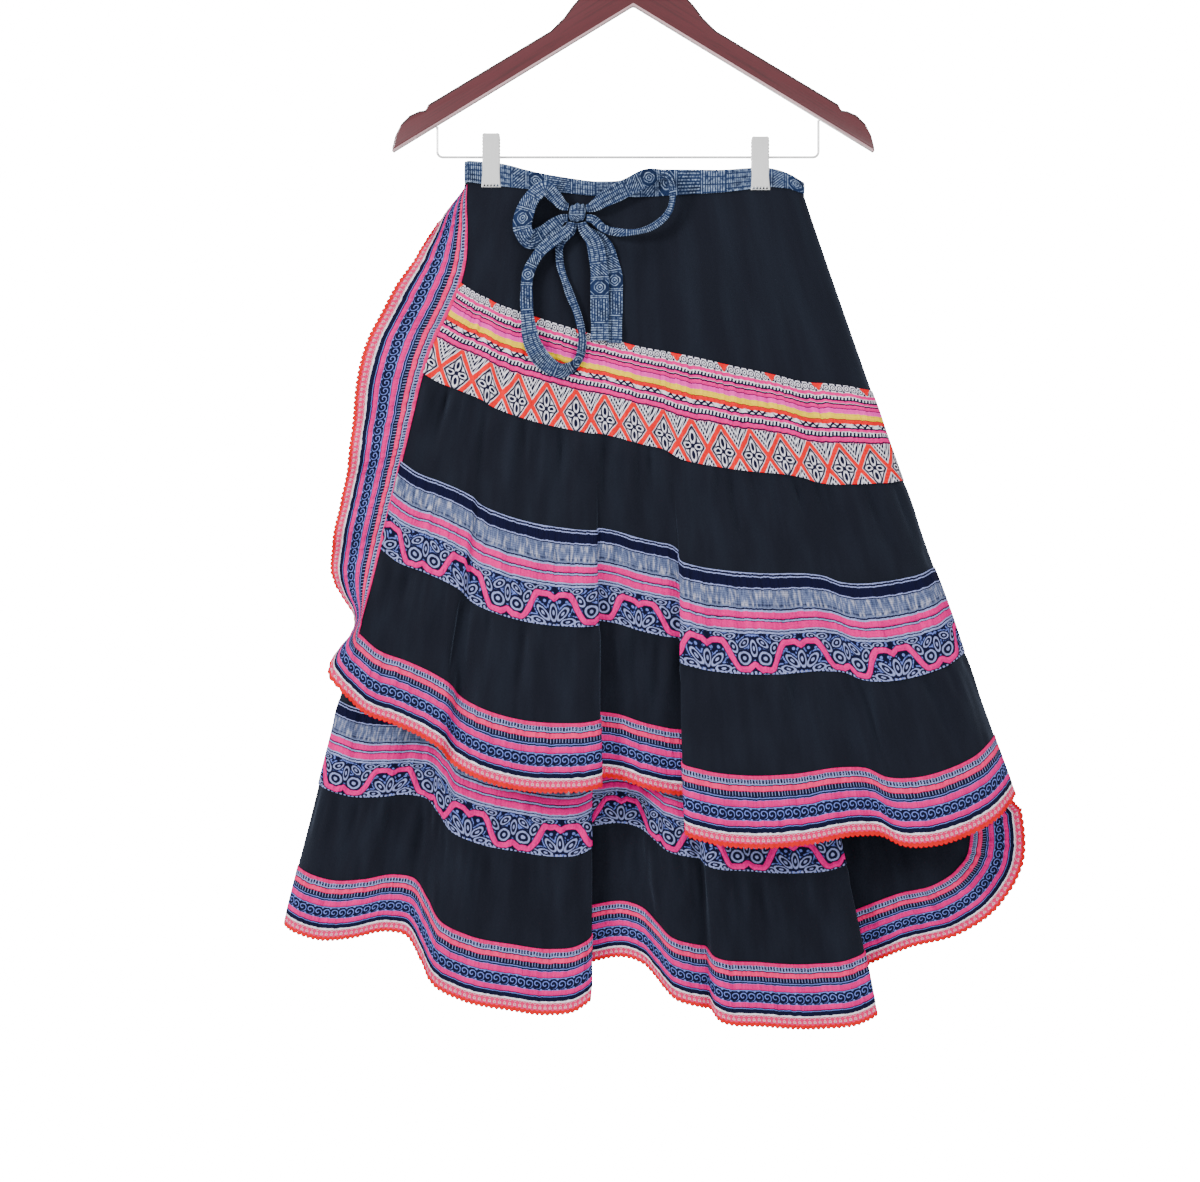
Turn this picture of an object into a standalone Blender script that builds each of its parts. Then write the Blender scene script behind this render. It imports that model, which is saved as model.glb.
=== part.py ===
"""Gathered wrap skirt with batik bands, hung by its waistband from a wooden clip hanger.

Metres, +Z up, the front faces -Y. The origin is where the hook rests on its rail, so that
a height is given as a drop below the rail. The tables are in millimetres.
"""

import math
from collections import namedtuple

import bmesh
import bpy
import numpy as np
from mathutils import Vector

MM = 0.001
SEAM = 0.3                  # gap left between pieces that meet
CLOTH = 1.4                 # thickness of the skirt's walls
WAISTBAND = 1.8             # thickness of the folded waistband
RIBBON = 1.4                # thickness of the folded ties
COLUMN = 22.0               # widest spacing of the wall's columns along the hem
LEAST_COLUMNS = 1           # between two fold lines
SMOOTH_BELOW = math.radians(50)
FLARE = 1.02                # how late the sides swing out, going down
FOLD_START = 0.35           # share of the height above which no fold shows
PULL_END = 0.36             # share of the height below which the free edge swings out
GATHER = 2.0                # largest wave of the gathered tiers
GATHER_SLOPE = 0.13         # a wave's height, as a share of its columns' spacing
BEND_GAP = 4.0              # how much a seam's gap widens in a right-angled bend
STEEPEST = 0.15             # least sine of the angle at which a seam's gap is widened

# Heights of the sewn strips, from the lace's lower edge up; the yoke takes the rest.
Tier = namedtuple("Tier", "name height rows")
TIERS = (
    Tier("lower_tier", 90, 2),
    Tier("batik_band", 90, 1),
    Tier("middle_tier", 92, 2),
    Tier("upper_band", 95, 1),
)
LACE_WIDTH = 12.0
BORDER_WIDTH = 50.0
YOKE_ROWS = 3
GATHERED = ("lower_tier", "middle_tier")

# Upper and lower edge of the waistband across the front, as drops below the rail.
Waist = namedtuple("Waist", "x top bottom")
WAIST = (
    Waist(-157, 250.5, 269.5),
    Waist(-121, 253.5, 274.0),
    Waist(-84, 263.0, 278.0),
    Waist(-40, 270.0, 282.5),
    Waist(-13, 270.0, 283.5),
    Waist(3, 265.5, 284.0),
    Waist(26, 259.0, 283.0),
    Waist(83, 259.5, 279.5),
    Waist(108, 257.5, 276.5),
    Waist(127, 257.5, 274.5),
    Waist(143, 262.5, 276.0),
    Waist(157, 271.5, 281.0),
)

# One row for each fold line of the wrap, in the order in which the cloth runs: front layer
# from its free edge to the right side, back, left side, then the inner front layer.
# waist, waist_y: where the line starts under the waistband; hem, drop, depth: where it ends
# at the lace's lower edge; sink, shift: how far its fold moves it back and sideways there;
# yoke: length of the yoke down that line; trim: how far the panel's corner is cut up;
# turn: degrees by which the border turns outward round a corner; pull: how far the free
# edge is held in, at most, where it hangs straight under the waistband.
Fold = namedtuple(
    "Fold", "waist waist_y hem drop depth sink shift yoke trim turn pull", defaults=(0, 0, 0)
)
FRONT = (
    Fold(-153, -4, -264, 742, -32, 0, 0, 96, 0, 0, 15),
    Fold(-142, -4, -245, 759, -35, 0, 0, 100, 0, 0, 11),
    Fold(-130, -4, -216, 770, -38, 0, 0, 104, 0, 0, 6),
    Fold(-120, -4, -190, 782, -40, -2, 0, 107, 0, 0, 3),
    Fold(-114, -4, -176, 791, -41, -3, 0, 109),
    Fold(-110, -4, -168, 802, -41, 6, 0, 110.5),
    Fold(-103, -4, -145, 816, -42, -5, 0, 113),
    Fold(-81, -4, -104, 828, -43, -8, 0, 119),
    Fold(-60, -4, -65, 830, -43, -11, 0, 124.5),
    Fold(-46, -4, -40, 828, -43, -9, 0, 128),
    Fold(-40, -4, -32, 825, -43, -4, 2, 129.5),
    Fold(-34, -4, -29, 818, -43, 10, -4, 131),
    Fold(-22, -4, -16, 819, -42, 14, 0, 133.5),
    Fold(-5, -4, 12, 828, -42, 13, 0, 138),
    Fold(8, -4, 34, 833, -42, 13, 0, 141.5),
    Fold(13, -4, 45, 838, -42, 12, 14, 143),
    Fold(17, -4, 53, 848, -42, 5, 14, 144),
    Fold(21, -4, 60, 858, -42, -5, -6, 145),
    Fold(25, -4, 66, 867, -42, -11, -19, 146),
    Fold(32, -4, 76, 875, -43, -14, -9, 148),
    Fold(47, -4, 104, 880, -43, -13, 0, 153),
    Fold(68, -4, 152, 878, -42, -8, 0, 162),
    Fold(90, -4, 205, 870, -41, 0, 0, 172),
    Fold(99, -4, 226, 871, -40, 4, 0, 177),
    Fold(108, -4, 244, 879, -39, -4, 0, 182),
    Fold(121, -4, 272, 879, -37, -7, 0, 187),
    Fold(136, -4, 304, 870, -34, -3, 0, 190),
    Fold(148, -4, 332, 855, -28, 0, 0, 192.5),
)
RIGHT_SIDE = (
    Fold(154, -2.9, 347, 840, -15, 0, 0, 193.5),
    Fold(156.5, 0, 352, 835, 0, 0, 0, 194),
    Fold(154, 2.9, 346, 840, 14, 0, 0, 195),
)
BACK = (
    Fold(143, 4, 318, 850, 24, 0, 0, 197),
    Fold(120, 4, 275, 872, 28, -4, 0, 205),
    Fold(95, 4, 225, 884, 29, 8, 0, 216),
    Fold(66, 4, 160, 897, 30, -5, 0, 229),
    Fold(36, 4, 98, 912, 30, 9, 0, 243),
    Fold(6, 4, 36, 922, 30, -5, 0, 257),
    Fold(-24, 4, -26, 934, 30, 8, 0, 271),
    Fold(-54, 4, -92, 945, 30, -5, 0, 285),
    Fold(-84, 4, -158, 955, 29, 8, 0, 299),
    Fold(-112, 4, -222, 962, 27, -2, 0, 311),
    Fold(-138, 4, -282, 962, 22, 0, 0, 321),
)
LEFT_SIDE = (
    Fold(-151, 3.6, -315, 958, 15, 0, 0, 325),
    Fold(-154.5, 2.0, -323, 956, 6, 0, 0, 327),
    Fold(-152, 0.4, -317, 960, -3, 0, 0, 328),
)
INNER = (
    Fold(-144, 0, -289, 969, -9, 0, 0, 330),
    Fold(-131, 0, -260, 967, -13, 0, 0, 332),
    Fold(-117, 0, -228, 961, -15, 5, 0, 334),
    Fold(-108, 0, -210, 964, -16, 5, 0, 335.5),
    Fold(-102, 0, -196, 985, -17, 0, 0, 336.5),
    Fold(-96, 0, -184, 1008, -18, -5, 0, 337.5),
    Fold(-84, 0, -158, 1022, -19, -7, 0, 339.5),
    Fold(-65, 0, -113, 1031, -20, -8, 0, 342.5),
    Fold(-50, 0, -78, 1035, -20, -8, 0, 345),
    Fold(-42, 0, -58, 1031, -20, -8, 6, 346.5),
    Fold(-37, 0, -48, 1020, -20, -4, 9, 347.5),
    Fold(-32, 0, -40, 1007, -20, 3, -10, 348.5),
    Fold(-27, 0, -32, 996, -20, 8, -24, 349.5),
    Fold(-21, 0, -22, 988, -20, 12, -12, 350.5),
    Fold(-12, 0, -6, 985, -20, 12, 0, 352),
    Fold(-4, 0, 10, 991, -20, 8, 0, 353.5),
    Fold(2, 0, 24, 1006, -20, 1, 0, 354.5),
    Fold(8, 0, 38, 1021, -20, -6, 0, 356),
    Fold(17, 0, 60, 1028, -20, -6, 0, 358),
    Fold(22, 0, 71, 1031, -20, 0, 0, 359),
    Fold(27, 0, 82, 1039, -20, -8, -5, 360),
    Fold(40, 0, 122, 1046, -20, -8, 0, 364),
    Fold(54, 0, 174, 1048, -19, -6, 0, 369),
    Fold(63, 0, 206, 1043, -18, -5, 4, 372),
    Fold(67, 0, 213, 1036, -17, -1, 10, 373),
    Fold(71, 0, 219, 1024, -15, 6, -12, 373.5),
    Fold(74, 0, 224, 1012, -13, 11, -34, 374),
    Fold(78, 0, 230, 998, -10, 12, -22, 374),
    Fold(81, 0, 240, 986, -8, 12, -6, 374),
    Fold(84, 0, 258, 977, -6, 12, 0, 374),
    Fold(88, 0, 296, 972, -4, 10, 0, 374, 4, 14),
    Fold(91, 0, 322, 966, -3, 8, 0, 374, 14, 32),
    Fold(94, 0, 338, 958, -2, 7, 0, 374, 26, 62),
    Fold(95, 0, 346, 954, -2, 6, 0, 374, 42, 92),
)

# Rungs of the border up a free edge: where the rung starts on the panel's edge, as a drop,
# and how far out, down and back from there the lace's edge lies.
Rung = namedtuple("Rung", "drop out fall back")
FRONT_EDGE = (
    Rung(274, 12, 16, 0),
    Rung(291, 25, 18, 0),
    Rung(318, 39, 8, 0),
    Rung(346, 50, 2, 0),
    Rung(363.4, 56, -2, 0),
    Rung(390, 60, -3, 0),
    Rung(418, 62, 1, 0),
    Rung(447.3, 60, 3, 0),
    Rung(487.8, 55, 6, 0),
    Rung(528.4, 50, 9, 0),
    Rung(560, 49, 9, 1),
    Rung(596, 47, 8, 4),
    Rung(630, 40, 2, 14),
    Rung(649, 28, 1, 19),
    Rung(661, 14, 5, 20),
    Rung(670, 9, 8, 19),
    Rung(676, 13, 16, 13),
    Rung(680, 24, 26, 6),
    Rung(683, 29, 40, 2),
)
INNER_EDGE = (
    Rung(855, 47, -10, 2),
    Rung(820, 45, -2, 2),
    Rung(760, 46, 0, 2),
    Rung(690, 46, 0, 2),
    Rung(620, 45, 0, 1),
    Rung(550, 44, 0, 1),
    Rung(480, 43, 0, 0),
    Rung(420, 42, 0, 0),
    Rung(365, 38, 3, 0),
    Rung(325, 30, 8, 0),
    Rung(298, 20, 14, 0),
)

# The ties. A stop is a place on a ribbon's middle line: out is how far it stands off the
# front layer, lean turns its face from the front (0) to edge-on (90).
Stop = namedtuple("Stop", "x drop out width lean")
RIBBON_STEP = 9.0           # widest spacing of a ribbon's sections
KNOT = Stop(-51.5, 300, 6.7, 15.5, 0)
KNOT_HEIGHT = 16.5
KNOT_DEPTH = 9.4
KNOT_ROUND = 3.0
TIES = {
    "tie_loop_left": (
        Stop(-60.0, 295, 8.5, 6, 0),
        Stop(-63, 294.4, 9.5, 7.5, 2),
        Stop(-72, 286, 11, 12, 10),
        Stop(-81, 278, 12, 16, 25),
        Stop(-91, 285, 13, 18.5, 35),
        Stop(-99, 299, 13, 19, 30),
        Stop(-101.5, 316, 12, 19, 25),
        Stop(-95.5, 325.5, 10, 18, 35),
        Stop(-84, 320.5, 7, 16, 10),
        Stop(-72, 310.5, 5, 12, 0),
        Stop(-64, 304.8, 4.2, 7.5, 0),
        Stop(-60.0, 304.5, 4.0, 6, 0),
    ),
    "tie_loop_right": (
        Stop(-43.0, 296, 8.5, 6, 0),
        Stop(-40, 295.6, 9, 7.5, 2),
        Stop(-27, 288, 10, 14, 10),
        Stop(-4, 276, 11, 17, 15),
        Stop(18, 267, 12, 15, 30),
        Stop(31, 267, 12, 11, 55),
        Stop(36, 281, 12, 9, 55),
        Stop(33, 299, 11, 7.5, 45),
        Stop(19, 313, 11, 7, 40),
        Stop(-4, 319, 11, 7, 30),
        Stop(-27, 315, 9, 7.5, 10),
        Stop(-39, 305.5, 8, 6.5, 2),
        Stop(-43.0, 305, 7, 6, 0),
    ),
    "tie_hanging_loop": (
        Stop(-57.5, 309.2, 8.5, 6, 0),
        Stop(-58.2, 312.5, 9, 7, 2),
        Stop(-70, 323, 9.8, 11, 5),
        Stop(-85, 336, 9.5, 10.5, 5),
        Stop(-96, 355, 8.5, 10, 5),
        Stop(-98, 379, 8, 11, 5),
        Stop(-96.5, 401, 8, 13, 8),
        Stop(-92, 422, 8, 16, 15),
        Stop(-81, 438, 8, 17, 20),
        Stop(-65, 446, 6.5, 14, 35),
        Stop(-52, 438, 5.5, 9, 30),
        Stop(-47, 420, 4.5, 7.5, 15),
        Stop(-50.5, 397, 4.2, 7, 10),
        Stop(-60, 371, 4.0, 7, 10),
        Stop(-67.5, 346, 4.0, 6.5, 8),
        Stop(-67, 328, 4.0, 6.5, 5),
        Stop(-54.2, 313.5, 4.0, 5.5, 2),
        Stop(-53.2, 309.2, 4.0, 5, 0),
    ),
    "tie_tail_front": (
        Stop(-47.5, 309.2, 7.5, 7, 0),
        Stop(-46.8, 312.5, 7.3, 8, 0),
        Stop(-37, 326, 7.0, 14, 0),
        Stop(-32, 350, 6.5, 16, 0),
        Stop(-31, 385, 6.5, 16.5, 0),
        Stop(-31, 418, 6.0, 16.5, 0),
    ),
    "tie_tail_back": (
        Stop(-46.0, 308.8, 4.0, 5, 0),
        Stop(-44.8, 312.5, 3.6, 6, 0),
        Stop(-28, 326, 3.2, 11, 0),
        Stop(-19, 350, 3.2, 14, 0),
        Stop(-17, 385, 3.2, 14, 0),
        Stop(-18, 420, 3.2, 14, 0),
    ),
}

# The hanger. Half of the arms' outline, from the neck's top to the tip and back.
ARM_THICKNESS = 11.0
ARM_ROUND = 1.8
Corner = namedtuple("Corner", "x drop")
ARM_OUTLINE = (
    Corner(0, 62.3),
    Corner(18.3, 62.3),
    Corner(19.5, 71),
    Corner(24, 78),
    Corner(31, 84),
    Corner(43, 94),
    Corner(56, 108),
    Corner(64, 119),
    Corner(76, 131),
    Corner(189, 199),
    Corner(191.5, 204.5),
    Corner(197, 205),
    Corner(206, 209),
    Corner(214, 217),
    Corner(219.5, 228),
    Corner(222, 238),
    Corner(222.5, 243.5),
    Corner(0, 108),
)
HOOK_WIRE = 1.9             # radius
HOOK_RADIUS = 21.9          # of the wire's middle line
HOOK_START = -70            # degrees round the circle from +X, where the shank joins it
HOOK_TIP = 215              # where the wire ends
HOOK_STEPS = 24
SHANK = 8.0                 # straight wire below the circle
SHANK_BEND = 1.5            # how far the shank leans before it joins the circle
NECK_TOP = 62.3
BAR_WIRE = 1.2
BAR_DROP = 247.2
BAR_BEND = 5.0
BAR_ENDS = (-180.8, 170.8)
ARM_SLOPE = (243.5 - 108) / 222.5
ARM_APEX = 108.0
CLIP_PLATE = 1.2
CLIP_JAW = 5.4              # half the space between the jaws
CLIP_WIDTH = 17.4
CLIP_WEB = 5.0
Clip = namedtuple("Clip", "name x top bottom")
CLIPS = (Clip("clip_left", -131.0, 226.0, 275.5), Clip("clip_right", 117.0, 229.0, 278.0))

COLOURS = {
    "black_cotton": (0.013, 0.016, 0.021, 0.9, 0.0),
    "pink_batik": (0.75, 0.12, 0.25, 0.85, 0.0),
    "blue_batik": (0.30, 0.33, 0.55, 0.85, 0.0),
    "indigo_batik": (0.10, 0.16, 0.25, 0.85, 0.0),
    "border_stripe": (0.62, 0.10, 0.30, 0.85, 0.0),
    "lace_red": (0.80, 0.12, 0.10, 0.8, 0.0),
    "dark_wood": (0.10, 0.022, 0.020, 0.3, 0.0),
    "bright_metal": (0.75, 0.75, 0.76, 0.25, 1.0),
}


def clear_scene():
    for thing in list(bpy.data.objects):
        bpy.data.objects.remove(thing, do_unlink=True)


def material(name):
    """Principled material of one of the part's finishes."""
    found = bpy.data.materials.get(name)
    if found:
        return found
    red, green, blue, rough, metal = COLOURS[name]
    made = bpy.data.materials.new(name)
    made.use_nodes = True
    shader = made.node_tree.nodes["Principled BSDF"]
    shader.inputs["Base Color"].default_value = (red, green, blue, 1.0)
    shader.inputs["Roughness"].default_value = rough
    shader.inputs["Metallic"].default_value = metal
    return made


def place(name, mesh, finish, collection):
    """Add a mesh to the scene as the node called name."""
    thing = bpy.data.objects.new(name, mesh)
    thing.data.materials.append(material(finish))
    collection.objects.link(thing)
    return thing


def smoothstep(low, high, value):
    share = np.clip((value - low) / (high - low), 0.0, 1.0)
    return share * share * (3.0 - 2.0 * share)


def refine(rows, stations, spacing):
    """Run a smooth curve through table rows; return the rows at about even spacing."""
    rows = np.array(rows, dtype=float)
    step = np.diff(stations)
    rate = np.diff(rows, axis=0) / step[:, None]
    slope = np.empty_like(rows)
    slope[0] = rate[0]
    slope[-1] = rate[-1]
    before = step[:-1, None]
    after = step[1:, None]
    slope[1:-1] = (rate[:-1] * after + rate[1:] * before) / (before + after)
    result = [rows[0]]
    for index, width in enumerate(step):
        count = max(LEAST_COLUMNS, int(math.ceil(width / spacing)))
        for number in range(1, count + 1):
            s = number / count
            result.append(
                (2 * s**3 - 3 * s**2 + 1) * rows[index]
                + (s**3 - 2 * s**2 + s) * width * slope[index]
                + (3 * s**2 - 2 * s**3) * rows[index + 1]
                + (s**3 - s**2) * width * slope[index + 1]
            )
    return np.array(result)


def along_hem(folds):
    """Distance along the hem at which each fold line ends."""
    ends = [(f.hem + f.shift, f.depth + f.sink, -f.drop, 0.5 * f.waist) for f in folds]
    return np.concatenate([[0.0], np.cumsum(np.linalg.norm(np.diff(ends, axis=0), axis=1))])


class Wrap:
    """The skirt's middle surface: columns along the cloth, heights up each column."""

    def __init__(self, folds, spacing):
        table = refine(folds, along_hem(folds), spacing)
        self.fold = Fold(*table.T)
        self.waist_drop = np.interp(self.fold.waist, [w.x for w in WAIST], [w.bottom for w in WAIST])
        rise = self.fold.drop - self.waist_drop
        self.length = np.hypot(self.fold.hem - self.fold.waist, rise)
        self.front_count = int(np.argmax(self.fold.waist_y > FRONT[0].waist_y + SEAM))

    def at_share(self, share):
        """Points at a share of the way from the waist (0) to the lace's edge (1)."""
        fold = self.fold
        grown = smoothstep(FOLD_START, 1.0, share)
        held = np.clip(share / PULL_END, 0.0, 1.0)
        x = fold.waist + (fold.hem - fold.waist) * np.clip(share, 0, None) ** FLARE
        x = x + fold.shift * grown + fold.pull * 16 * (held * (1 - held)) ** 2
        y = fold.waist_y + fold.depth * share + fold.sink * grown
        drop = self.waist_drop + (fold.drop - self.waist_drop) * share
        return np.stack([x, y, -drop], axis=-1)

    def at_height(self, height):
        """Points at a height above the lace's lower edge, measured along the cloth."""
        return self.at_share(1.0 - height / self.length)

    def seam_heights(self):
        """Heights of the seams above the lace's edge, from the border's top upward.

        The tiers share what the yoke leaves of the line, shorter where it hangs in a fold.
        """
        full = LACE_WIDTH + BORDER_WIDTH + sum(tier.height for tier in TIERS)
        share = (self.length - self.fold.yoke) / full
        heights = [(LACE_WIDTH + BORDER_WIDTH) * share]
        for tier in TIERS:
            heights.append(heights[-1] + tier.height * share)
        heights[0] = heights[0] + self.fold.trim
        return heights

    def normal_at(self, height):
        """Outward normals along the cloth at a height."""
        line = self.at_height(height)
        return outward(line, self.at_height(height - 1.0) - line)

    def strip(self, heights, top, bottom):
        """Lines and normals of a strip; at its seams the normals are those of the seams."""
        lines = [self.at_height(height) for height in heights]
        inner = [self.normal_at(height) for height in heights[1:-1]]
        return lines, [self.normal_at(top)] + inner + [self.normal_at(bottom)]

    def depth_in_front(self, x, drop):
        """Depth of the front layer at a place seen from the front."""
        share = (drop - self.waist_drop) / (self.fold.drop - self.waist_drop)
        points = self.at_share(np.clip(share, 0.0, 1.0))
        front = points[: self.front_count]
        order = np.argsort(front[:, 0])
        return float(np.interp(x, front[order, 0], front[order, 1]))


def outward(line, down):
    """Unit normals along a line of points, square to the line and to the way down."""
    normal = np.cross(down, np.gradient(line, axis=0))
    return normal / np.linalg.norm(normal, axis=1, keepdims=True)


def wall(name, lines, normals, thickness, finish, collection):
    """A cloth wall lofted through lines of points, from the top line down.

    Its thickness follows the normals that are handed in, so two strips that share a seam
    line and its normals meet edge to edge.
    """
    lines = np.array(lines)
    half = np.array(normals) * thickness / 2
    rows, columns = lines.shape[:2]
    corners = np.concatenate([(lines + half).reshape(-1, 3), (lines - half).reshape(-1, 3)]) * MM
    under = rows * columns
    faces = []
    for row in range(rows - 1):
        for column in range(columns - 1):
            first = row * columns + column
            quad = (first, first + columns, first + columns + 1, first + 1)
            faces.append(quad)
            faces.append(tuple(corner + under for corner in reversed(quad)))
    along_top = list(range(columns))
    down_right = [row * columns + columns - 1 for row in range(rows)]
    along_base = [(rows - 1) * columns + column for column in reversed(range(columns))]
    up_left = [row * columns for row in reversed(range(rows))]
    rim = along_top + down_right[1:] + along_base[1:] + up_left[1:]
    for here, there in zip(rim[:-1], rim[1:]):
        faces.append((here, there, there + under, here + under))
    mesh = bpy.data.meshes.new(name)
    mesh.from_pydata([tuple(c) for c in corners], [], faces)
    mesh.set_sharp_from_angle(angle=SMOOTH_BELOW)
    return place(name, mesh, finish, collection)


def gathered(lines, normals):
    """Wave the inner lines of a tier, column by column; its seams stay flat."""
    sign = np.where(np.arange(len(lines[0])) % 2 == 0, 1.0, -1.0)
    sign[[0, -1]] = 0.0
    waved = [lines[0]]
    for line, normal in zip(lines[1:-1], normals[1:-1]):
        spacing = np.linalg.norm(np.gradient(line, axis=0), axis=1)
        size = np.minimum(GATHER, GATHER_SLOPE * spacing) * sign
        waved.append(line + normal * size[:, None])
    return waved + [lines[-1]]


def half_seam(line, across):
    """Half the seam's gap along the cloth, wider on a slant and in a sharp bend."""
    across = across / np.linalg.norm(across, axis=1, keepdims=True)
    normal = np.cross(np.gradient(line, axis=0), across)
    normal /= np.linalg.norm(normal, axis=1, keepdims=True)
    square = np.ones(len(line))
    for side in (-CLOTH / 2, 0.0, CLOTH / 2):
        run = np.diff(line + normal * side, axis=0)
        run /= np.linalg.norm(run, axis=1, keepdims=True)
        before = np.linalg.norm(np.cross(run, across[:-1]), axis=1)
        after = np.linalg.norm(np.cross(run, across[1:]), axis=1)
        square[:-1] = np.minimum(square[:-1], before)
        square[1:] = np.minimum(square[1:], after)
    straight = np.sum(normal[:-1] * normal[1:], axis=1)
    bend = 1.0 - np.minimum(np.append(straight, 1.0), np.insert(straight, 0, 1.0))
    return SEAM / 2 * (1.0 + BEND_GAP * bend) / np.clip(square, STEEPEST, 1.0)


def between(wrap, top, bottom, rows):
    """Heights of a strip's rows, half a seam in from each edge."""
    gaps = []
    for edge in (top, bottom):
        line = wrap.at_height(edge)
        gaps.append(half_seam(line, wrap.at_height(edge - 1.0) - line))
    upper = top - gaps[0]
    lower = bottom + gaps[1]
    return [upper + (lower - upper) * share for share in np.linspace(0.0, 1.0, rows + 1)]


def build_tiers(wrap, collection):
    """The four strips and the yoke, each one piece all the way round."""
    seams = wrap.seam_heights()
    finishes = {
        "lower_tier": "black_cotton",
        "batik_band": "blue_batik",
        "middle_tier": "black_cotton",
        "upper_band": "pink_batik",
    }
    for index, tier in enumerate(TIERS):
        heights = between(wrap, seams[index + 1], seams[index], tier.rows)
        lines, normals = wrap.strip(heights, seams[index + 1], seams[index])
        if tier.name in GATHERED:
            lines = gathered(lines, normals)
        wall(tier.name, lines, normals, CLOTH, finishes[tier.name], collection)
    heights = between(wrap, wrap.length, seams[-1], YOKE_ROWS)
    lines, normals = wrap.strip(heights, wrap.length, seams[-1])
    wall("yoke", lines, normals, CLOTH, "black_cotton", collection)


def build_waistband(wrap, collection):
    """The folded strip that holds the yoke's top edge."""
    base = wrap.at_share(0.0)
    kept = np.arange(0, len(base), 2)
    kept[-1] = len(base) - 1
    base = base[kept]
    top_drop = np.interp(base[:, 0], [w.x for w in WAIST], [w.top for w in WAIST])
    lower = base + np.array([0.0, 0.0, 2 * SEAM])
    upper = np.column_stack([base[:, 0], base[:, 1], -top_drop])
    level = outward(base * np.array([1.0, 1.0, 0.0]), np.array([0.0, 0.0, -1.0]))
    wall("waistband", [upper, lower], [level, level], WAISTBAND, "indigo_batik", collection)


def hem_rungs(wrap):
    """Start and end of the border's rungs along the hem, turned outward at the corner."""
    seam = wrap.seam_heights()[0]
    start = wrap.at_height(seam)
    straight = wrap.at_height(seam - wrap.fold.trim)
    reach = wrap.at_share(1.0) - straight
    angle = np.radians(wrap.fold.turn)
    turned = np.stack(
        [
            reach[:, 0] * np.cos(angle) - reach[:, 2] * np.sin(angle),
            reach[:, 1],
            reach[:, 0] * np.sin(angle) + reach[:, 2] * np.cos(angle),
        ],
        axis=-1,
    )
    return start, start + turned


def panel_edge(wrap, column):
    """Corners of the panels' free edge, from the waist down, as their walls have them."""
    seams = wrap.seam_heights()
    heights = list(np.linspace(wrap.length, seams[-1], YOKE_ROWS + 1))
    for index in reversed(range(len(TIERS))):
        heights += list(np.linspace(seams[index + 1], seams[index], TIERS[index].rows + 1))[1:]
    return np.array([wrap.at_height(height)[column] for height in heights])


def edge_rungs(wrap, column, table, side):
    """Rungs up a free edge, from a table; side is -1 on the left and 1 on the right."""
    starts = []
    ends = []
    edge = panel_edge(wrap, column)
    for rung in table:
        turned = rung.back / math.hypot(rung.out, rung.fall, rung.back)
        gap = SEAM + CLOTH * abs(turned)
        x = np.interp(rung.drop, -edge[:, 2], edge[:, 0])
        y = np.interp(rung.drop, -edge[:, 2], edge[:, 1])
        start = np.array([x + side * gap, y, -rung.drop])
        starts.append(start)
        ends.append(start + np.array([side * rung.out, rung.back, -rung.fall]))
    return np.array(starts), np.array(ends)


def build_border(wrap, collection):
    """Border and lace: up the front free edge, round the whole hem, up the inner edge."""
    left = edge_rungs(wrap, 0, FRONT_EDGE, -1)
    hem = hem_rungs(wrap)
    right = edge_rungs(wrap, -1, INNER_EDGE, 1)
    start = np.vstack([left[0], hem[0], right[0]])
    end = np.vstack([left[1], hem[1], right[1]])
    reach = end - start
    width = np.linalg.norm(reach, axis=1)[:, None]
    share = BORDER_WIDTH / (BORDER_WIDTH + LACE_WIDTH)
    split = start + reach * share
    unit = reach / width
    inner = start + unit * half_seam(start, reach)[:, None]
    gap = unit * half_seam(split, reach)[:, None]
    top_normal = outward(start, reach)
    first = len(left[0])
    top_normal[first : first + len(hem[0])] = wrap.normal_at(wrap.seam_heights()[0])
    split_normal = outward(split, reach)
    end_normal = outward(end, reach)
    border = [inner, split - gap]
    lace = [split + gap, end]
    wall("border", border, [top_normal, split_normal], CLOTH, "border_stripe", collection)
    wall("lace_trim", lace, [split_normal, end_normal], CLOTH, "lace_red", collection)


def ribbon(name, stops, wrap, collection):
    """A flat tie through its stops, with a rectangular section."""
    places = np.array([(s.x, s.drop) for s in stops])
    stations = np.concatenate([[0.0], np.cumsum(np.linalg.norm(np.diff(places, axis=0), axis=1))])
    table = Stop(*refine(stops, stations, RIBBON_STEP).T)
    depth = [wrap.depth_in_front(x, drop) for x, drop in zip(table.x, table.drop)]
    centre = np.stack([table.x, np.array(depth) - table.out, -table.drop], axis=-1)
    tangent = np.gradient(centre, axis=0)
    tangent /= np.linalg.norm(tangent, axis=1, keepdims=True)
    flat = np.cross(tangent, np.array([0.0, 1.0, 0.0]))
    flat /= np.linalg.norm(flat, axis=1, keepdims=True)
    back = np.cross(tangent, flat)
    lean = np.radians(table.lean)[:, None]
    across = flat * np.cos(lean) + back * np.sin(lean)
    half = table.width[:, None] / 2
    face = np.cross(tangent, across)
    edges = [centre + across * half, centre - across * half]
    wall(name, edges, [face, face], RIBBON, "indigo_batik", collection)


def build_knot(wrap, collection):
    """The knot of the bow: a rounded block that the ties run into."""
    depth = wrap.depth_in_front(KNOT.x, KNOT.drop)
    mesh = bpy.data.meshes.new("tie_knot")
    shape = bmesh.new()
    bmesh.ops.create_cube(shape, size=1.0)
    bmesh.ops.scale(shape, verts=shape.verts, vec=Vector((KNOT.width, KNOT_DEPTH, KNOT_HEIGHT)) * MM)
    shape.to_mesh(mesh)
    shape.free()
    thing = place("tie_knot", mesh, "indigo_batik", collection)
    thing.location = Vector((KNOT.x, depth - KNOT.out, -KNOT.drop)) * MM
    rounding = thing.modifiers.new("round", "BEVEL")
    rounding.width = KNOT_ROUND * MM
    rounding.segments = 2


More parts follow.
